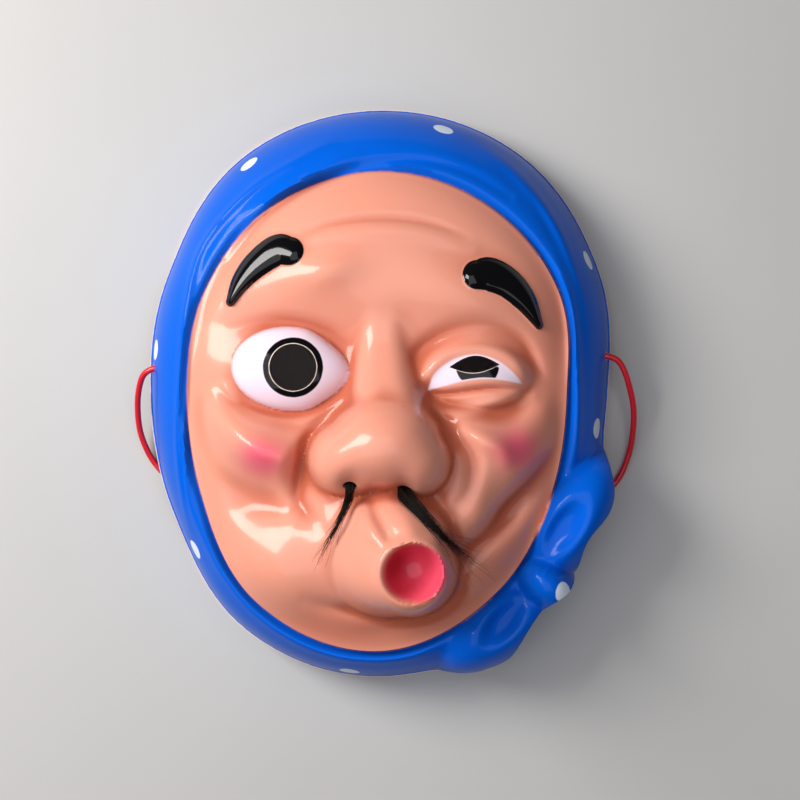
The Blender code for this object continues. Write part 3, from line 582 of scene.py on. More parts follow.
def ring_materials(rings, face_rings, face_slot, scarf_slot):
    """The material slot of each square of the wrapped grid, by the ring that it is in."""
    line = np.abs(np.arange(2 * rings) + 0.5 - rings)
    ring = np.maximum(line[:, None], line[None, :])
    return np.where(ring < face_rings, face_slot, scarf_slot).ravel().astype(np.int32)


def draw_sheet(face, scarf, inside, edge):
    """The thin shell. Only its hidden inner face is thinned to fewer triangles."""
    mesh = sheet_mesh("mask_sheet", RINGS, FACE_RINGS)
    for material in (face, inside, edge, scarf, inside, edge):
        mesh.materials.append(material)
    mesh.polygons.foreach_set("material_index", ring_materials(RINGS, FACE_RINGS, 0, 3))
    obj = bpy.data.objects.new("mask_sheet", mesh)
    bpy.context.scene.collection.objects.link(obj)
    obj.vertex_groups.new(name="inner_face")
    thick = obj.modifiers.new("sheet_thickness", "SOLIDIFY")
    thick.thickness = SHEET * MM
    thick.offset = -1.0
    thick.use_even_offset = True
    thick.use_quality_normals = True
    thick.material_offset = 1
    thick.material_offset_rim = 2
    thick.shell_vertex_group = "inner_face"
    fewer = obj.modifiers.new("fewer_inner_faces", "DECIMATE")
    fewer.vertex_group = "inner_face"
    fewer.ratio = 0.58
    punched = bpy.data.collections.new("punches")
    bpy.context.scene.collection.children.link(punched)
    for cutter in make_punches(edge):
        punched.objects.link(cutter)
    holes = obj.modifiers.new("holes", "BOOLEAN")
    holes.operation = "DIFFERENCE"
    holes.solver = "EXACT"
    holes.operand_type = "COLLECTION"
    holes.collection = punched
    holes.material_mode = "TRANSFER"
    mesh = finished_mesh(obj)
    for cutter in list(punched.objects):
        bpy.data.objects.remove(cutter, do_unlink=True)
    bpy.data.collections.remove(punched)
    obj.modifiers.clear()
    obj.vertex_groups.clear()
    obj.data = mesh
    return obj


# The colours
# Peach plastic right through, sprayed through stencils: blue scarf, pale dots, white eyes, black brows
# and irises, and soft pink in the mouth and on the cheeks. Painted shade, a dark rust-brown, darkens the
# creases, under the mouth and down the right, and a dark crimson darkens the mouth's cup at its upper left.
# Each stencilled edge is kept as a distance in millimetres.
DOT_RADIUS = 4.1
DOTS = ((-52.4, 91.7), (25.4, 105.4), (83.7, 53.5), (-90.2, 17.5), (-74.0, -62.6), (-12.2, -111.5),
        (87.0, -14.0), (71.9, -77.4))
IRIS_RADIUS = 11.5
WINK_IRIS = (37.8, 10.6)
WINK_IRIS_RADIUS = 8.4
WINK_IRIS_TOP = 10.2
WINK_UPPER = ((18.8, 1.0), (21.8, 8.0), (29.5, 13.2), (37.5, 14.8), (45.5, 12.4), (51.0, 8.4), (55.6, 3.4))
WINK_LOWER = ((18.8, 1.0), (25.0, 2.6), (32.0, 4.4), (40.0, 5.4), (48.0, 4.8), (55.6, 3.4))
LINER = 0.5
CUT_EDGE = 0.28
MOUTH_SQUASH = 1.1
BLUSH_STRENGTH = 0.85
# How strongly the painted shade darkens the creases
SHADE_STRENGTH = 0.8
# Painted shade under the mouth and down the right: middle, half sizes, turn in degrees and strength
SHADE_SPRAYS = (((2, -90), (60, 14), 6, 0.55), ((70, 5), (15, 62), 0, 0.35), ((48, -66), (14, 24), -38, 0.3))
SPRAY_EDGE = 2.2
MOUTH_PINK = (14.2, -67.0)
MOUTH_PINK_START = 10.6
MOUTH_PINK_END = 12.8
# Painted shade in the mouth's cup, darker at its upper left: middle and half sizes
MOUTH_SHADE = (6.6, -64.6)
MOUTH_SHADE_HALF = (7.5, 9.0)
BLUSHES = ((-44.7, -24.5), (52.8, -21.4))
BLUSH_SIZE = (9.0, 7.5)
# The creases' painted shade: how far their surroundings are averaged, in what steps, and how deep gives full
# shade
HOLLOW_BLUR = 6.5
HOLLOW_STEP = 0.8
HOLLOW_REACH = 112.0
HOLLOW_FULL = 2.0


def line_height(x, line):
    path = smooth_path(line)
    return np.interp(x, path[:, 0], path[:, 1])


def distance_to(x, y, line):
    """The plain distance in plan to a smooth line of places."""
    return along(x, y, [place + (0.0,) for place in line])[0]


def wink_white(x, y):
    """The signed distance to the outline of the white that shows in the winking eye."""
    upper = line_height(x, WINK_UPPER)
    lower = line_height(x, WINK_LOWER)
    inside = (y < upper) & (y > lower) & (x > WINK_UPPER[0][0]) & (x < WINK_UPPER[-1][0])
    gap = np.minimum(distance_to(x, y, WINK_UPPER), distance_to(x, y, WINK_LOWER))
    return np.where(inside, -gap, gap)


def wink_iris(x, y):
    """The part of the iris that shows under the lid, down to a thin white line above the lower lid."""
    ring = np.hypot(x - WINK_IRIS[0], y - WINK_IRIS[1]) - WINK_IRIS_RADIUS
    return np.maximum(np.maximum(ring, y - WINK_IRIS_TOP), line_height(x, WINK_LOWER) + LINER - y)


def cut_edge(x, y, angle):
    """The bare plastic along the cut edges of the sight hole, the slit and the rim."""
    hole = np.hypot(x - EYE_HOLE[0], y - EYE_HOLE[1]) - EYE_HOLE_RADIUS
    middle = 0.5 * (SLIT_LEFT[0] + SLIT_RIGHT[0])
    slit = np.where(y < SLIT_LEFT[1] + 1.5, distance_to(x, y, slit_outline()[:17]), 9.0)
    slit = slit + 0.02 * np.abs(x - middle)
    rim = rim_radius(angle) - np.hypot(x, y)
    return np.minimum(np.minimum(hole, slit), rim) - CUT_EDGE


def hollows(x, y):
    """How far each place lies below its surroundings, from 0 on a crest to 1 in a deep crease."""
    line = np.arange(-HOLLOW_REACH, HOLLOW_REACH, HOLLOW_STEP)
    across, up = np.meshgrid(line, line)
    height = sheet_height(across, up)
    reach = np.arange(-3 * HOLLOW_BLUR, 3 * HOLLOW_BLUR + HOLLOW_STEP, HOLLOW_STEP)
    weight = np.exp(-(reach / HOLLOW_BLUR) ** 2)
    weight = weight / weight.sum()
    smooth = height
    for axis in (0, 1):
        smooth = np.apply_along_axis(np.convolve, axis, smooth, weight, "same")
    depth = np.clip((smooth - height) / HOLLOW_FULL, 0, 1)
    column = (x + HOLLOW_REACH) / HOLLOW_STEP
    row = (y + HOLLOW_REACH) / HOLLOW_STEP
    i = np.clip(row.astype(int), 0, len(line) - 2)
    j = np.clip(column.astype(int), 0, len(line) - 2)
    v = np.clip(row - i, 0, 1)
    u = np.clip(column - j, 0, 1)
    low = depth[i, j] * (1 - u) + depth[i, j + 1] * u
    high = depth[i + 1, j] * (1 - u) + depth[i + 1, j + 1] * u
    return low * (1 - v) + high * v


def shade_sprays(x, y):
    """Painted shade under the mouth and down the right of the face: how much darker brown goes there."""
    sprays = [amount * swell(x, y, middle, half, turn, SPRAY_EDGE)
              for middle, half, turn, amount in SHADE_SPRAYS]
    return np.max(sprays, axis=0)


def paint_sheet(mesh):
    """Keep each colour's place on the mesh, for the material to read."""
    places = np.empty(len(mesh.vertices) * 3)
    mesh.vertices.foreach_get("co", places)
    x, y, z = places.reshape(-1, 3).T / MM
    angle = np.mod(np.arctan2(y, x), 2 * np.pi)
    left_iris = np.hypot(x - EYE_HOLE[0], y - EYE_HOLE[1]) - IRIS_RADIUS
    brows = np.minimum(stroke(x, y, LEFT_BROW), stroke(x, y, RIGHT_BROW))
    dots = [np.sqrt((x - a) ** 2 + (y - b) ** 2 + (z - sheet_point(a, b)) ** 2) for a, b in DOTS]
    mouth = np.hypot(x - MOUTH_PINK[0], MOUTH_SQUASH * (y - MOUTH_PINK[1]))
    blushes = [swell(x, y, middle, BLUSH_SIZE, 0, 2.6) for middle in BLUSHES]
    layers = {
        "scarf_edge": opening_radius(angle) - np.hypot(x, y),
        "dot_edge": np.min(dots, axis=0) - DOT_RADIUS,
        "white_edge": np.minimum(eye_white(x, y), wink_white(x, y)),
        "black_edge": np.minimum(np.minimum(left_iris, wink_iris(x, y)), brows),
        "cut_edge": cut_edge(x, y, angle),
        "mouth_pink": 1.0 - step(mouth, MOUTH_PINK_START, MOUTH_PINK_END),
        # Painted shade: the mouth's cup darker at its upper left
        "mouth_shade": swell(x, y, MOUTH_SHADE, MOUTH_SHADE_HALF, -25, SPRAY_EDGE),
        "blush": BLUSH_STRENGTH * np.max(blushes, axis=0),
        # Painted shade: darker in the creases, under the mouth and down the right
        "hollow": np.maximum(hollows(x, y), shade_sprays(x, y)),
    }
    for name, values in layers.items():
        layer = mesh.attributes.new(name, "FLOAT", "POINT")
        layer.data.foreach_set("value", values.astype(np.float32))


def add_node(tree, kind, settings=None, inputs=None):
    """Add a node, set its own settings, and give its inputs values or other nodes' outputs."""
    made = tree.nodes.new(kind)
    for name, value in (settings or {}).items():
        setattr(made, name, value)
    for name, value in (inputs or {}).items():
        if isinstance(value, bpy.types.NodeSocket):
            tree.links.new(value, made.inputs[name])
        else:
            made.inputs[name].default_value = value
    return made


def calculate(tree, operation, *values):
    """The result of one math node."""
    return add_node(tree, "ShaderNodeMath", {"operation": operation}, dict(enumerate(values))).outputs[0]


def new_group(name, inputs, outputs):
    """An empty shader node group with named inputs, each with its default, and named outputs."""
    group = bpy.data.node_groups.new(name, "ShaderNodeTree")
    for title, kind, value in inputs:
        socket = group.interface.new_socket(title, in_out="INPUT", socket_type="NodeSocket" + kind)
        socket.default_value = value
    for title, kind in outputs:
        group.interface.new_socket(title, in_out="OUTPUT", socket_type="NodeSocket" + kind)
    return group, add_node(group, "NodeGroupInput").outputs, add_node(group, "NodeGroupOutput")


def make_sprayed_edge():
    """Where a sprayed colour is: 1 inside its edge, going by a distance in millimetres, a little soft."""
    group, given, result = new_group(
        "sprayed_edge",
        (("Distance", "Float", 0.0), ("Softness", "Float", 0.25), ("Unevenness", "Float", 0.2)),
        (("Mask", "Float"),))
    place = add_node(group, "ShaderNodeTexCoord").outputs["Object"]
    noise = add_node(group, "ShaderNodeTexNoise", None, {"Vector": place, "Scale": 420.0, "Detail": 2.0})
    centred = calculate(group, "SUBTRACT", noise.outputs["Fac"], 0.5)
    wobble = calculate(group, "MULTIPLY_ADD", centred, given["Unevenness"], given["Distance"])
    inner = calculate(group, "MULTIPLY", given["Softness"], -1.0)
    ramp = add_node(group, "ShaderNodeMapRange", {"interpolation_type": "SMOOTHSTEP"},
                    {"Value": wobble, "From Min": inner, "From Max": given["Softness"],
                     "To Min": 1.0, "To Max": 0.0})
    group.links.new(ramp.outputs["Result"], result.inputs["Mask"])
    return group


def make_moulded_skin():
    """The face of drawn plastic: a fine orange peel over slow waves, as a height for a bump."""
    group, given, result = new_group(
        "moulded_skin",
        (("Peel", "Float", 0.15), ("Waves", "Float", 1.0)),
        (("Height", "Float"), ("Mottle", "Float")))
    place = add_node(group, "ShaderNodeTexCoord").outputs["Object"]
    peel = add_node(group, "ShaderNodeTexNoise", None, {"Vector": place, "Scale": 700.0, "Detail": 2.0})
    waves = add_node(group, "ShaderNodeTexNoise", None, {"Vector": place, "Scale": 60.0, "Detail": 1.0})
    fine = calculate(group, "MULTIPLY", peel.outputs["Fac"], given["Peel"])
    both = calculate(group, "MULTIPLY_ADD", waves.outputs["Fac"], given["Waves"], fine)
    mottle = add_node(group, "ShaderNodeTexNoise", None, {"Vector": place, "Scale": 28.0, "Detail": 4.0})
    group.links.new(both, result.inputs["Height"])
    group.links.new(mottle.outputs["Fac"], result.inputs["Mottle"])
    return group


def new_material(name, plain):
    """A material whose Principled shader has the plain values set on its own sockets."""
    material = bpy.data.materials.new(name)
    material.use_nodes = True
    shader = material.node_tree.nodes["Principled BSDF"]
    for socket, value in plain.items():
        shader.inputs[socket].default_value = value
    return material, material.node_tree, shader


def mix_colour(tree, mask, below, above):
    return add_node(tree, "ShaderNodeMix", {"data_type": "RGBA"}, {0: mask, 6: below, 7: above}).outputs[2]


def mix_value(tree, mask, below, above):
    return add_node(tree, "ShaderNodeMix", {"data_type": "FLOAT"}, {0: mask, 2: below, 3: above}).outputs[0]


PEACH = (0.80, 0.33, 0.235, 1.0)
PEACH_DEEP = (0.78, 0.30, 0.208, 1.0)
# A dark brown for the painted shade in the creases, under the mouth and down the right
SHADE_BROWN = (0.46, 0.085, 0.033, 1.0)
BLUSH_RED = (0.86, 0.10, 0.19, 1.0)
MOUTH_RED = (0.86, 0.09, 0.16, 1.0)
# A dark crimson for the painted shade in the mouth's cup
MOUTH_SHADE_RED = (0.36, 0.015, 0.03, 1.0)
EYE_WHITE = (0.84, 0.70, 0.82, 1.0)
BROW_BLACK = (0.003, 0.003, 0.004, 1.0)
SCARF_BLUE = (0.001, 0.12, 0.68, 1.0)
SCARF_DEEP = (0.001, 0.095, 0.60, 1.0)
DOT_WHITE = (0.72, 0.82, 0.95, 1.0)
BARE_PLASTIC = (0.86, 0.70, 0.60, 1.0)
INSIDE_PALE = (0.86, 0.46, 0.33, 1.0)
CUT_PALE = (0.84, 0.60, 0.48, 1.0)


def make_sprayed_plastic(name, edge_group, skin_group, gloss):
    """The painted outer face, the same colours on the face and on the scarf, with the gloss of each."""
    material, tree, shader = new_material(name, {
        "Roughness": 0.3, "IOR": 1.5, "Specular IOR Level": gloss["body"], "Coat Weight": gloss["coat"],
        "Coat Roughness": gloss["coat_blur"], "Coat IOR": 1.5})
    skin = add_node(tree, "ShaderNodeGroup", {"node_tree": skin_group}, {"Peel": 0.12, "Waves": 1.0})

    def layer(name):
        return add_node(tree, "ShaderNodeAttribute", {"attribute_name": name}).outputs["Fac"]

    def sprayed(name, softness, unevenness):
        inputs = {"Distance": layer(name), "Softness": softness, "Unevenness": unevenness}
        return add_node(tree, "ShaderNodeGroup", {"node_tree": edge_group}, inputs).outputs["Mask"]

    mottle = skin.outputs["Mottle"]
    white = sprayed("white_edge", 0.5, 0.3)
    black = sprayed("black_edge", 0.22, 0.25)
    scarf = sprayed("scarf_edge", 0.4, 0.5)
    dots = sprayed("dot_edge", 0.25, 0.5)
    bare = sprayed("cut_edge", 0.15, 0.3)
    colour = mix_colour(tree, mottle, PEACH, PEACH_DEEP)
    # Painted shade: a dark brown mixed in over the creases, under the mouth and down the right
    shaded = calculate(tree, "MULTIPLY", layer("hollow"), SHADE_STRENGTH)
    colour = mix_colour(tree, shaded, colour, SHADE_BROWN)
    colour = mix_colour(tree, layer("blush"), colour, BLUSH_RED)
    # Painted shade: the mouth's red darkened at the cup's upper left
    mouth = mix_colour(tree, layer("mouth_shade"), MOUTH_RED, MOUTH_SHADE_RED)
    colour = mix_colour(tree, layer("mouth_pink"), colour, mouth)
    colour = mix_colour(tree, white, colour, EYE_WHITE)
    colour = mix_colour(tree, black, colour, BROW_BLACK)
    blue = mix_colour(tree, mottle, SCARF_BLUE, SCARF_DEEP)
    colour = mix_colour(tree, scarf, colour, blue)
    colour = mix_colour(tree, dots, colour, DOT_WHITE)
    colour = mix_colour(tree, bare, colour, BARE_PLASTIC)
    tree.links.new(colour, shader.inputs["Base Color"])
    roughness = mix_value(tree, mottle, 0.26, 0.36)
    roughness = mix_value(tree, black, roughness, 0.07)
    roughness = mix_value(tree, bare, roughness, 0.5)
    tree.links.new(roughness, shader.inputs["Roughness"])
    thickness = calculate(tree, "MULTIPLY_ADD", black, 0.3, skin.outputs["Height"])
    bump = add_node(tree, "ShaderNodeBump", None,
                    {"Strength": 0.25, "Distance": 0.0001, "Height": thickness})
    tree.links.new(bump.outputs["Normal"], shader.inputs["Normal"])
    return material


def make_bare_plastic(name, skin_group, roughness, skin_sizes, colours):
    """Unsprayed plastic: the back of the sheet, and the edges where it was cut."""
    material, tree, shader = new_material(name, {"Roughness": roughness, "IOR": 1.5})
    skin = add_node(tree, "ShaderNodeGroup", {"node_tree": skin_group}, skin_sizes)
    colour = mix_colour(tree, skin.outputs["Mottle"], *colours)
    tree.links.new(colour, shader.inputs["Base Color"])
    bump = add_node(tree, "ShaderNodeBump", None,
                    {"Strength": 0.3, "Distance": 0.0001, "Height": skin.outputs["Height"]})
    tree.links.new(bump.outputs["Normal"], shader.inputs["Normal"])
    return material


sprayed_edge = make_sprayed_edge()
moulded_skin = make_moulded_skin()
face_paint = make_sprayed_plastic("face_paint", sprayed_edge, moulded_skin,
                                  {"body": 0.16, "coat": 0.36, "coat_blur": 0.11})
scarf_paint = make_sprayed_plastic("scarf_paint", sprayed_edge, moulded_skin,
                                   {"body": 0.03, "coat": 0.16, "coat_blur": 0.06})
inside_plastic = make_bare_plastic("inside_plastic", moulded_skin, 0.42, {"Peel": 0.3, "Waves": 1.0},
                                   (PEACH, INSIDE_PALE))
cut_plastic = make_bare_plastic("cut_plastic", moulded_skin, 0.5, {"Peel": 0.5, "Waves": 0.5},
                                (BARE_PLASTIC, CUT_PALE))
mask_sheet = draw_sheet(face_paint, scarf_paint, inside_plastic, cut_plastic)
paint_sheet(mask_sheet.data)
mask_sheet.data.shade_smooth()
mask_sheet.data.set_sharp_from_angle(angle=math.radians(50))
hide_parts("mask_shell")
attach(mask_sheet, "root")


# The hair in the nostrils
# A bundle of black synthetic hair is pushed through each nostril and hangs over the lip. Few strands
# reach the end, so it is thick at the nose and fans into loose tips.
HAIR_ROOM = 2.5
HAIR_ROUTES = {
    "left": ((-10.8, -34.8), (-11.6, -41.0), (-15.2, -49.0), (-19.4, -57.0), (-23.4, -65.5)),
    "right": ((9.8, -36.2), (14.0, -42.5), (21.5, -50.5), (30.0, -58.8), (38.5, -66.5)),
}
HAIR_STRANDS = {"left": 170, "right": 230}
HAIR_ROOT = {"left": 1.7, "right": 2.4}
HAIR_WAIST = {"left": 0.3, "right": 0.5}
HAIR_FAN = {"left": 4.0, "right": 6.0}
STRAND_RADIUS = 0.095
STRAND_TIP = 0.03
HAIR_BLACK = (0.002, 0.0015, 0.0015, 1.0)
HAIR_BROWN_BLACK = (0.012, 0.006, 0.004, 1.0)


def hair_route(stations):
    """From inside the nose out through the nostril, then down over the lip, a little clear of it."""
    x, y = stations[0]
    start = np.array([x, y, sheet_point(x, y)])
    route = [tuple(start - 6.5 * nostril_direction()), tuple(start + 2.5 * nostril_direction())]
    for x, y in stations[1:]:
        near = [sheet_point(x + HAIR_ROOM * a, y + HAIR_ROOM * b) for a in (-1, 0, 1) for b in (-1, 0, 1)]
        route.append((x, y, max(near) + HAIR_ROOM))
    return route


def make_tuft_tree():
    """Copies of a guide line, spread about it, a little wavy, mostly short and each with a fine tip."""
    tree = bpy.data.node_groups.new("tuft", "GeometryNodeTree")
    tree.interface.new_socket("Geometry", in_out="INPUT", socket_type="NodeSocketGeometry")
    sizes = (("Strands", "Int", 90), ("Root Spread", "Float", 0.002), ("Waist Spread", "Float", 0.0008),
             ("Tip Fan", "Float", 0.003), ("Waviness", "Float", 0.0008), ("Strand Radius", "Float", 0.0001),
             ("Shortest", "Float", 0.55), ("Seed", "Int", 0))
    for title, kind, value in sizes:
        socket = tree.interface.new_socket(title, in_out="INPUT", socket_type="NodeSocket" + kind)
        socket.default_value = value
    tree.interface.new_socket("Material", in_out="INPUT", socket_type="NodeSocketMaterial")
    tree.interface.new_socket("Geometry", in_out="OUTPUT", socket_type="NodeSocketGeometry")
    given = add_node(tree, "NodeGroupInput").outputs
    guide = add_node(tree, "GeometryNodeMeshToCurve", None, {"Mesh": given["Geometry"]})
    even = add_node(tree, "GeometryNodeResampleCurve", None, {"Curve": guide.outputs[0], "Count": 26})
    copies = add_node(tree, "GeometryNodeDuplicateElements", {"domain": "SPLINE"},
                      {"Geometry": even.outputs[0], "Amount": given["Strands"]})
    which = copies.outputs["Duplicate Index"]
    place = add_node(tree, "FunctionNodeRandomValue", {"data_type": "FLOAT_VECTOR"},
                     {"Min": (-1.0, -1.0, -0.6), "Max": (1.0, 1.0, 0.6), "ID": which, "Seed": given["Seed"]})
    second_seed = calculate(tree, "ADD", given["Seed"], 1.0)
    stray = add_node(tree, "FunctionNodeRandomValue", {"data_type": "FLOAT"},
                     {2: 0.0, 3: 1.0, "ID": which, "Seed": second_seed})
    stray_cubed = calculate(tree, "POWER", stray.outputs[1], 3.0)
    down = add_node(tree, "GeometryNodeSplineParameter").outputs["Factor"]
    gathered = add_node(tree, "ShaderNodeMapRange", {"interpolation_type": "SMOOTHSTEP"},
                        {"Value": down, "From Min": 0.12, "From Max": 0.6, "To Min": given["Root Spread"],
                         "To Max": given["Waist Spread"]})
    late = calculate(tree, "POWER", down, 3.0)
    loose = calculate(tree, "MULTIPLY_ADD", stray_cubed, 2.2, 0.35)
    fan = calculate(tree, "MULTIPLY", late, loose)
    spread = calculate(tree, "MULTIPLY_ADD", fan, given["Tip Fan"], gathered.outputs["Result"])
    aside = add_node(tree, "ShaderNodeVectorMath", {"operation": "SCALE"},
                     {0: place.outputs[0], "Scale": spread})
    here = add_node(tree, "GeometryNodeInputPosition")
    apart = add_node(tree, "ShaderNodeVectorMath", {"operation": "MULTIPLY_ADD"},
                     {0: place.outputs[0], 1: (0.09, 0.09, 0.09), 2: here.outputs[0]})
    noise = add_node(tree, "ShaderNodeTexNoise", {"normalize": False},
                     {"Vector": apart.outputs[0], "Scale": 75.0, "Detail": 1.0})
    wave = calculate(tree, "MULTIPLY", down, given["Waviness"])
    sway = add_node(tree, "ShaderNodeVectorMath", {"operation": "SCALE"},
                    {0: noise.outputs["Color"], "Scale": wave})
    offset = add_node(tree, "ShaderNodeVectorMath", {"operation": "ADD"},
                      {0: aside.outputs[0], 1: sway.outputs[0]})
    moved = add_node(tree, "GeometryNodeSetPosition", None,
                     {"Geometry": copies.outputs["Geometry"], "Offset": offset.outputs[0]})
    third_seed = calculate(tree, "ADD", given["Seed"], 2.0)
    chance = add_node(tree, "FunctionNodeRandomValue", {"data_type": "FLOAT"},
                      {2: 0.0, 3: 1.0, "ID": which, "Seed": third_seed})
    seldom = calculate(tree, "POWER", chance.outputs[1], 2.3)
    length = add_node(tree, "ShaderNodeMapRange", None,
                      {"Value": seldom, "To Min": given["Shortest"]})
    trimmed = add_node(tree, "GeometryNodeTrimCurve", {"mode": "FACTOR"},
                       {"Curve": moved.outputs[0], "Start": 0.0, "End": length.outputs["Result"]})
    taper = add_node(tree, "ShaderNodeMapRange", None,
                     {"Value": add_node(tree, "GeometryNodeSplineParameter").outputs["Factor"],
                      "From Min": 0.3, "From Max": 1.0, "To Min": given["Strand Radius"],
                      "To Max": STRAND_TIP * MM})
    section = add_node(tree, "GeometryNodeCurvePrimitiveCircle", None, {"Resolution": 4, "Radius": 1.0})
    tubes = add_node(tree, "GeometryNodeCurveToMesh", None,
                     {"Curve": trimmed.outputs[0], "Profile Curve": section.outputs[0],
                      "Scale": taper.outputs["Result"], "Fill Caps": True})
    real = add_node(tree, "GeometryNodeRealizeInstances", None, {"Geometry": tubes.outputs[0]})
    finish = add_node(tree, "GeometryNodeSetMaterial", None,
                      {"Geometry": real.outputs[0], "Material": given["Material"]})
    result = add_node(tree, "NodeGroupOutput")
    tree.links.new(finish.outputs[0], result.inputs["Geometry"])
    return tree


def set_inputs(modifier, values):
    """Set a node modifier's inputs by their identifiers."""
    for socket in modifier.node_group.interface.items_tree:
        if socket.in_out == "INPUT" and socket.name in values:
            modifier[socket.identifier] = values[socket.name]


def make_hair_material():
    material, tree, shader = new_material(
        "synthetic_hair", {"Roughness": 0.5, "IOR": 1.5, "Specular IOR Level": 0.2})
    place = add_node(tree, "ShaderNodeTexCoord").outputs["Object"]
    noise = add_node(tree, "ShaderNodeTexNoise", None, {"Vector": place, "Scale": 1500.0, "Detail": 1.0})
    colour = mix_colour(tree, noise.outputs["Fac"], HAIR_BLACK, HAIR_BROWN_BLACK)
    tree.links.new(colour, shader.inputs["Base Color"])
    return material


hair_material = make_hair_material()
tuft_tree = make_tuft_tree()
for seed, (side, stations) in enumerate(HAIR_ROUTES.items()):
    guide_mesh = bpy.data.meshes.new("hair_tuft_" + side)
    guide = smooth_path(hair_route(stations), 6) * MM
    guide_mesh.from_pydata(guide.tolist(), [(k, k + 1) for k in range(len(guide) - 1)], [])
    tuft = bpy.data.objects.new("hair_tuft_" + side, guide_mesh)
    bpy.context.scene.collection.objects.link(tuft)
    grow = tuft.modifiers.new("grow", "NODES")
    grow.node_group = tuft_tree
    set_inputs(grow, {
        "Strands": HAIR_STRANDS[side], "Root Spread": HAIR_ROOT[side] * MM,
        "Waist Spread": HAIR_WAIST[side] * MM, "Tip Fan": HAIR_FAN[side] * MM,
        "Waviness": 1.3 * MM, "Strand Radius": STRAND_RADIUS * MM,
        "Shortest": 0.36, "Seed": 10 * seed, "Material": hair_material})
    tuft_mesh = finished_mesh(tuft)
    tuft.modifiers.clear()
    tuft.data = tuft_mesh
    tuft.data.shade_smooth()
    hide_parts("nostril_hair_" + side)
    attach(tuft, "root")


# The elastic
# One length of round red elastic runs behind the head from hole to hole. Each end goes in through
# its hole and is tied in a knot on the inside.
CORD_RADIUS = 1.25
CORD_FLOOR = CORD_RADIUS + 0.25
KNOT_RADIUS = 2.9
TOUCH_GAP = 0.3
CORD_ROUTE = (
    (-85.4, 10.0, 20.0),
    (-88.0, 10.0, 20.0),
    (-92.4, 9.6, 19.8),
    (-96.4, 6.0, 17.8),
    (-98.8, -4.0, 12.6),
    (-98.2, -17.0, 6.6),
    (-93.0, -29.0, CORD_FLOOR + 0.4),
    (-84.0, -36.0, CORD_FLOOR),
    (-60.0, -43.0, CORD_FLOOR),
    (-20.0, -48.0, CORD_FLOOR),
    (25.0, -49.0, CORD_FLOOR),
    (65.0, -47.0, CORD_FLOOR),
    (86.0, -43.5, CORD_FLOOR),
    (97.0, -37.0, CORD_FLOOR),
    (102.6, -24.0, 4.2),
    (103.6, -8.0, 10.6),
    (100.4, 5.0, 16.8),
    (96.8, 12.4, 19.4),
    (92.6, 14.8, 20.0),
    (88.2, 15.0, 20.0),
    (85.4, 15.0, 20.0),
)


def make_elastic_material():
    material, tree, shader = new_material("red_elastic", {"Roughness": 0.38, "IOR": 1.5, "Coat Weight": 0.25})
    place = add_node(tree, "ShaderNodeTexCoord").outputs["Object"]
    cover = add_node(tree, "ShaderNodeTexNoise", None, {"Vector": place, "Scale": 1400.0, "Detail": 2.0})
    colour = mix_colour(tree, cover.outputs["Fac"], (0.50, 0.004, 0.012, 1.0), (0.80, 0.012, 0.03, 1.0))
    tree.links.new(colour, shader.inputs["Base Color"])
    bump = add_node(tree, "ShaderNodeBump", None,
                    {"Strength": 0.35, "Distance": 0.0002, "Height": cover.outputs["Fac"]})
    tree.links.new(bump.outputs["Normal"], shader.inputs["Normal"])
    return material


def smooth_curve(name, places, radius, material):
    """A round cord as one smooth open spline."""
    curve = bpy.data.curves.new(name, "CURVE")
    curve.dimensions = "3D"
    curve.bevel_depth = radius * MM
    curve.bevel_resolution = 6
    curve.use_fill_caps = True
    spline = curve.splines.new("POLY")
    spline.points.add(len(places) - 1)
    for point, place in zip(spline.points, places):
        point.co = (*(c * MM for c in place), 1.0)
    spline.use_smooth = True
    curve.materials.append(material)
    obj = bpy.data.objects.new(name, curve)
    bpy.context.scene.collection.objects.link(obj)
    return obj


def knot_places(middle, away, count=72):
    """A simple overhand knot, opened where the cord comes in, with a short tail."""
    away = np.array(away) / np.linalg.norm(away)
    across = np.cross(away, (0.0, 1.0, 0.0))
    up = np.cross(across, away)
    turns = np.linspace(0.30, 2 * np.pi - 0.30, count)
    size = 0.62
    u = size * (np.sin(turns) + 2 * np.sin(2 * turns))
    v = size * (np.cos(turns) - 2 * np.cos(2 * turns))
    w = 1.15 * np.sin(3 * turns)
    return middle + np.outer(u, up) + np.outer(v, across) + np.outer(w, away)


elastic_material = make_elastic_material()
cord_places = smooth_path(CORD_ROUTE, 10)
elastic = smooth_curve("elastic_cord", cord_places, CORD_RADIUS, elastic_material)
for side, end, before in (("left", CORD_ROUTE[0], CORD_ROUTE[1]), ("right", CORD_ROUTE[-1], CORD_ROUTE[-2])):
    away = np.array(end) - np.array(before)
    middle = np.array(end) + away / np.linalg.norm(away) * (KNOT_RADIUS + TOUCH_GAP)
    knot = smooth_curve("elastic_knot_" + side, knot_places(middle, away), 1.0, elastic_material)
    knot_mesh = finished_mesh(knot)
    bpy.data.objects.remove(knot, do_unlink=True)
    knot = bpy.data.objects.new("elastic_knot_" + side, knot_mesh)
    bpy.context.scene.collection.objects.link(knot)
    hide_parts("cord_knot_" + side)
    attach(knot, "root")
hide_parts("head_cord")
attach(elastic, "root")


# The floor, the lights and the camera
# A plain pale floor lies under the mask. A window lights it from the upper left and a softer, broader
# light hangs almost overhead. The camera looks straight down, a little right of the nose.
FLOOR_SIZE = 3.0
FLOOR_GREY = (0.50, 0.495, 0.485, 1.0)
FLOOR_PALE = (0.54, 0.535, 0.525, 1.0)
CAMERA_PLACE = (0.0081, -0.0027, 0.750)
FOCAL_PIXELS = 1810.0
FRAME_PIXELS = 800.0
SENSOR = 36.0
KEY_PLACE = (-0.54, 0.26, 0.54)
KEY_SIZE = (0.34, 0.38)
KEY_POWER = 6.8
SOFT_PLACE = (-0.15, -0.04, 1.0)
SOFT_SIZE = (1.2, 1.2)
SOFT_POWER = 6.5


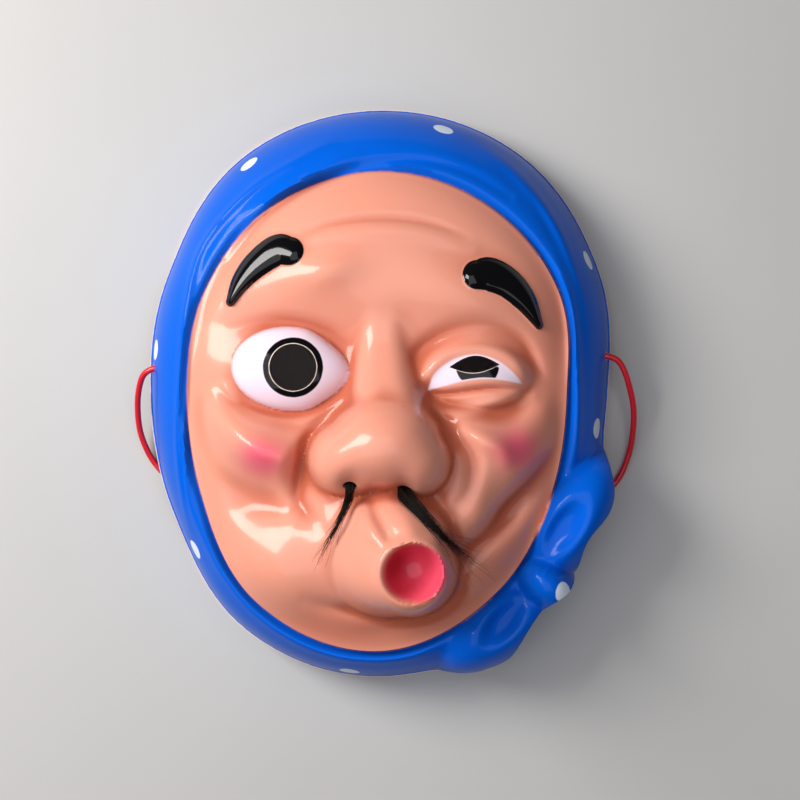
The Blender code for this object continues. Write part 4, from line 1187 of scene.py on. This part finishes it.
def aim(obj, place, at=(0.0, 0.0, 0.04)):
    """Put an object at a place and turn its -Z towards a point."""
    obj.location = place
    way = np.array(at) - np.array(place)
    way = way / np.linalg.norm(way)
    flat = math.hypot(way[0], way[1])
    obj.rotation_euler = (math.atan2(flat, -way[2]), 0.0, math.atan2(-way[0], way[1]))


def area_light(name, place, size, power, colour):
    light = bpy.data.lights.new(name, "AREA")
    light.shape = "RECTANGLE"
    light.size = size[0]
    light.size_y = size[1]
    light.energy = power
    light.color = colour
    obj = bpy.data.objects.new(name, light)
    bpy.context.scene.collection.objects.link(obj)
    aim(obj, place)


def make_floor():
    half = FLOOR_SIZE / 2
    mesh = bpy.data.meshes.new("floor")
    corners = [(-half, -half, 0), (half, -half, 0), (half, half, 0), (-half, half, 0)]
    mesh.from_pydata(corners, [], [(0, 1, 2, 3)])
    material, tree, shader = new_material("floor_paper", {"Roughness": 0.8})
    place = add_node(tree, "ShaderNodeTexCoord").outputs["Object"]
    noise = add_node(tree, "ShaderNodeTexNoise", None, {"Vector": place, "Scale": 9.0, "Detail": 3.0})
    colour = mix_colour(tree, noise.outputs["Fac"], FLOOR_GREY, FLOOR_PALE)
    tree.links.new(colour, shader.inputs["Base Color"])
    mesh.materials.append(material)
    floor = bpy.data.objects.new("floor", mesh)
    floor.location = (0.0, 0.0, cad_box[0][2] - 0.0002)
    bpy.context.scene.collection.objects.link(floor)


make_floor()
area_light("window", KEY_PLACE, KEY_SIZE, KEY_POWER, (1.0, 0.975, 0.94))
area_light("ceiling", SOFT_PLACE, SOFT_SIZE, SOFT_POWER, (0.97, 0.97, 1.0))
world = bpy.data.worlds.new("room")
world.use_nodes = True
world.node_tree.nodes["Background"].inputs["Color"].default_value = (0.92, 0.94, 1.0, 1.0)
world.node_tree.nodes["Background"].inputs["Strength"].default_value = 0.06
bpy.context.scene.world = world
bpy.context.scene.view_settings.view_transform = "Standard"
camera_data = bpy.data.cameras.new("camera")
camera_data.sensor_width = SENSOR
camera_data.lens = FOCAL_PIXELS / FRAME_PIXELS * SENSOR
camera = bpy.data.objects.new("camera", camera_data)
camera.location = CAMERA_PLACE
bpy.context.scene.collection.objects.link(camera)
bpy.context.scene.camera = camera
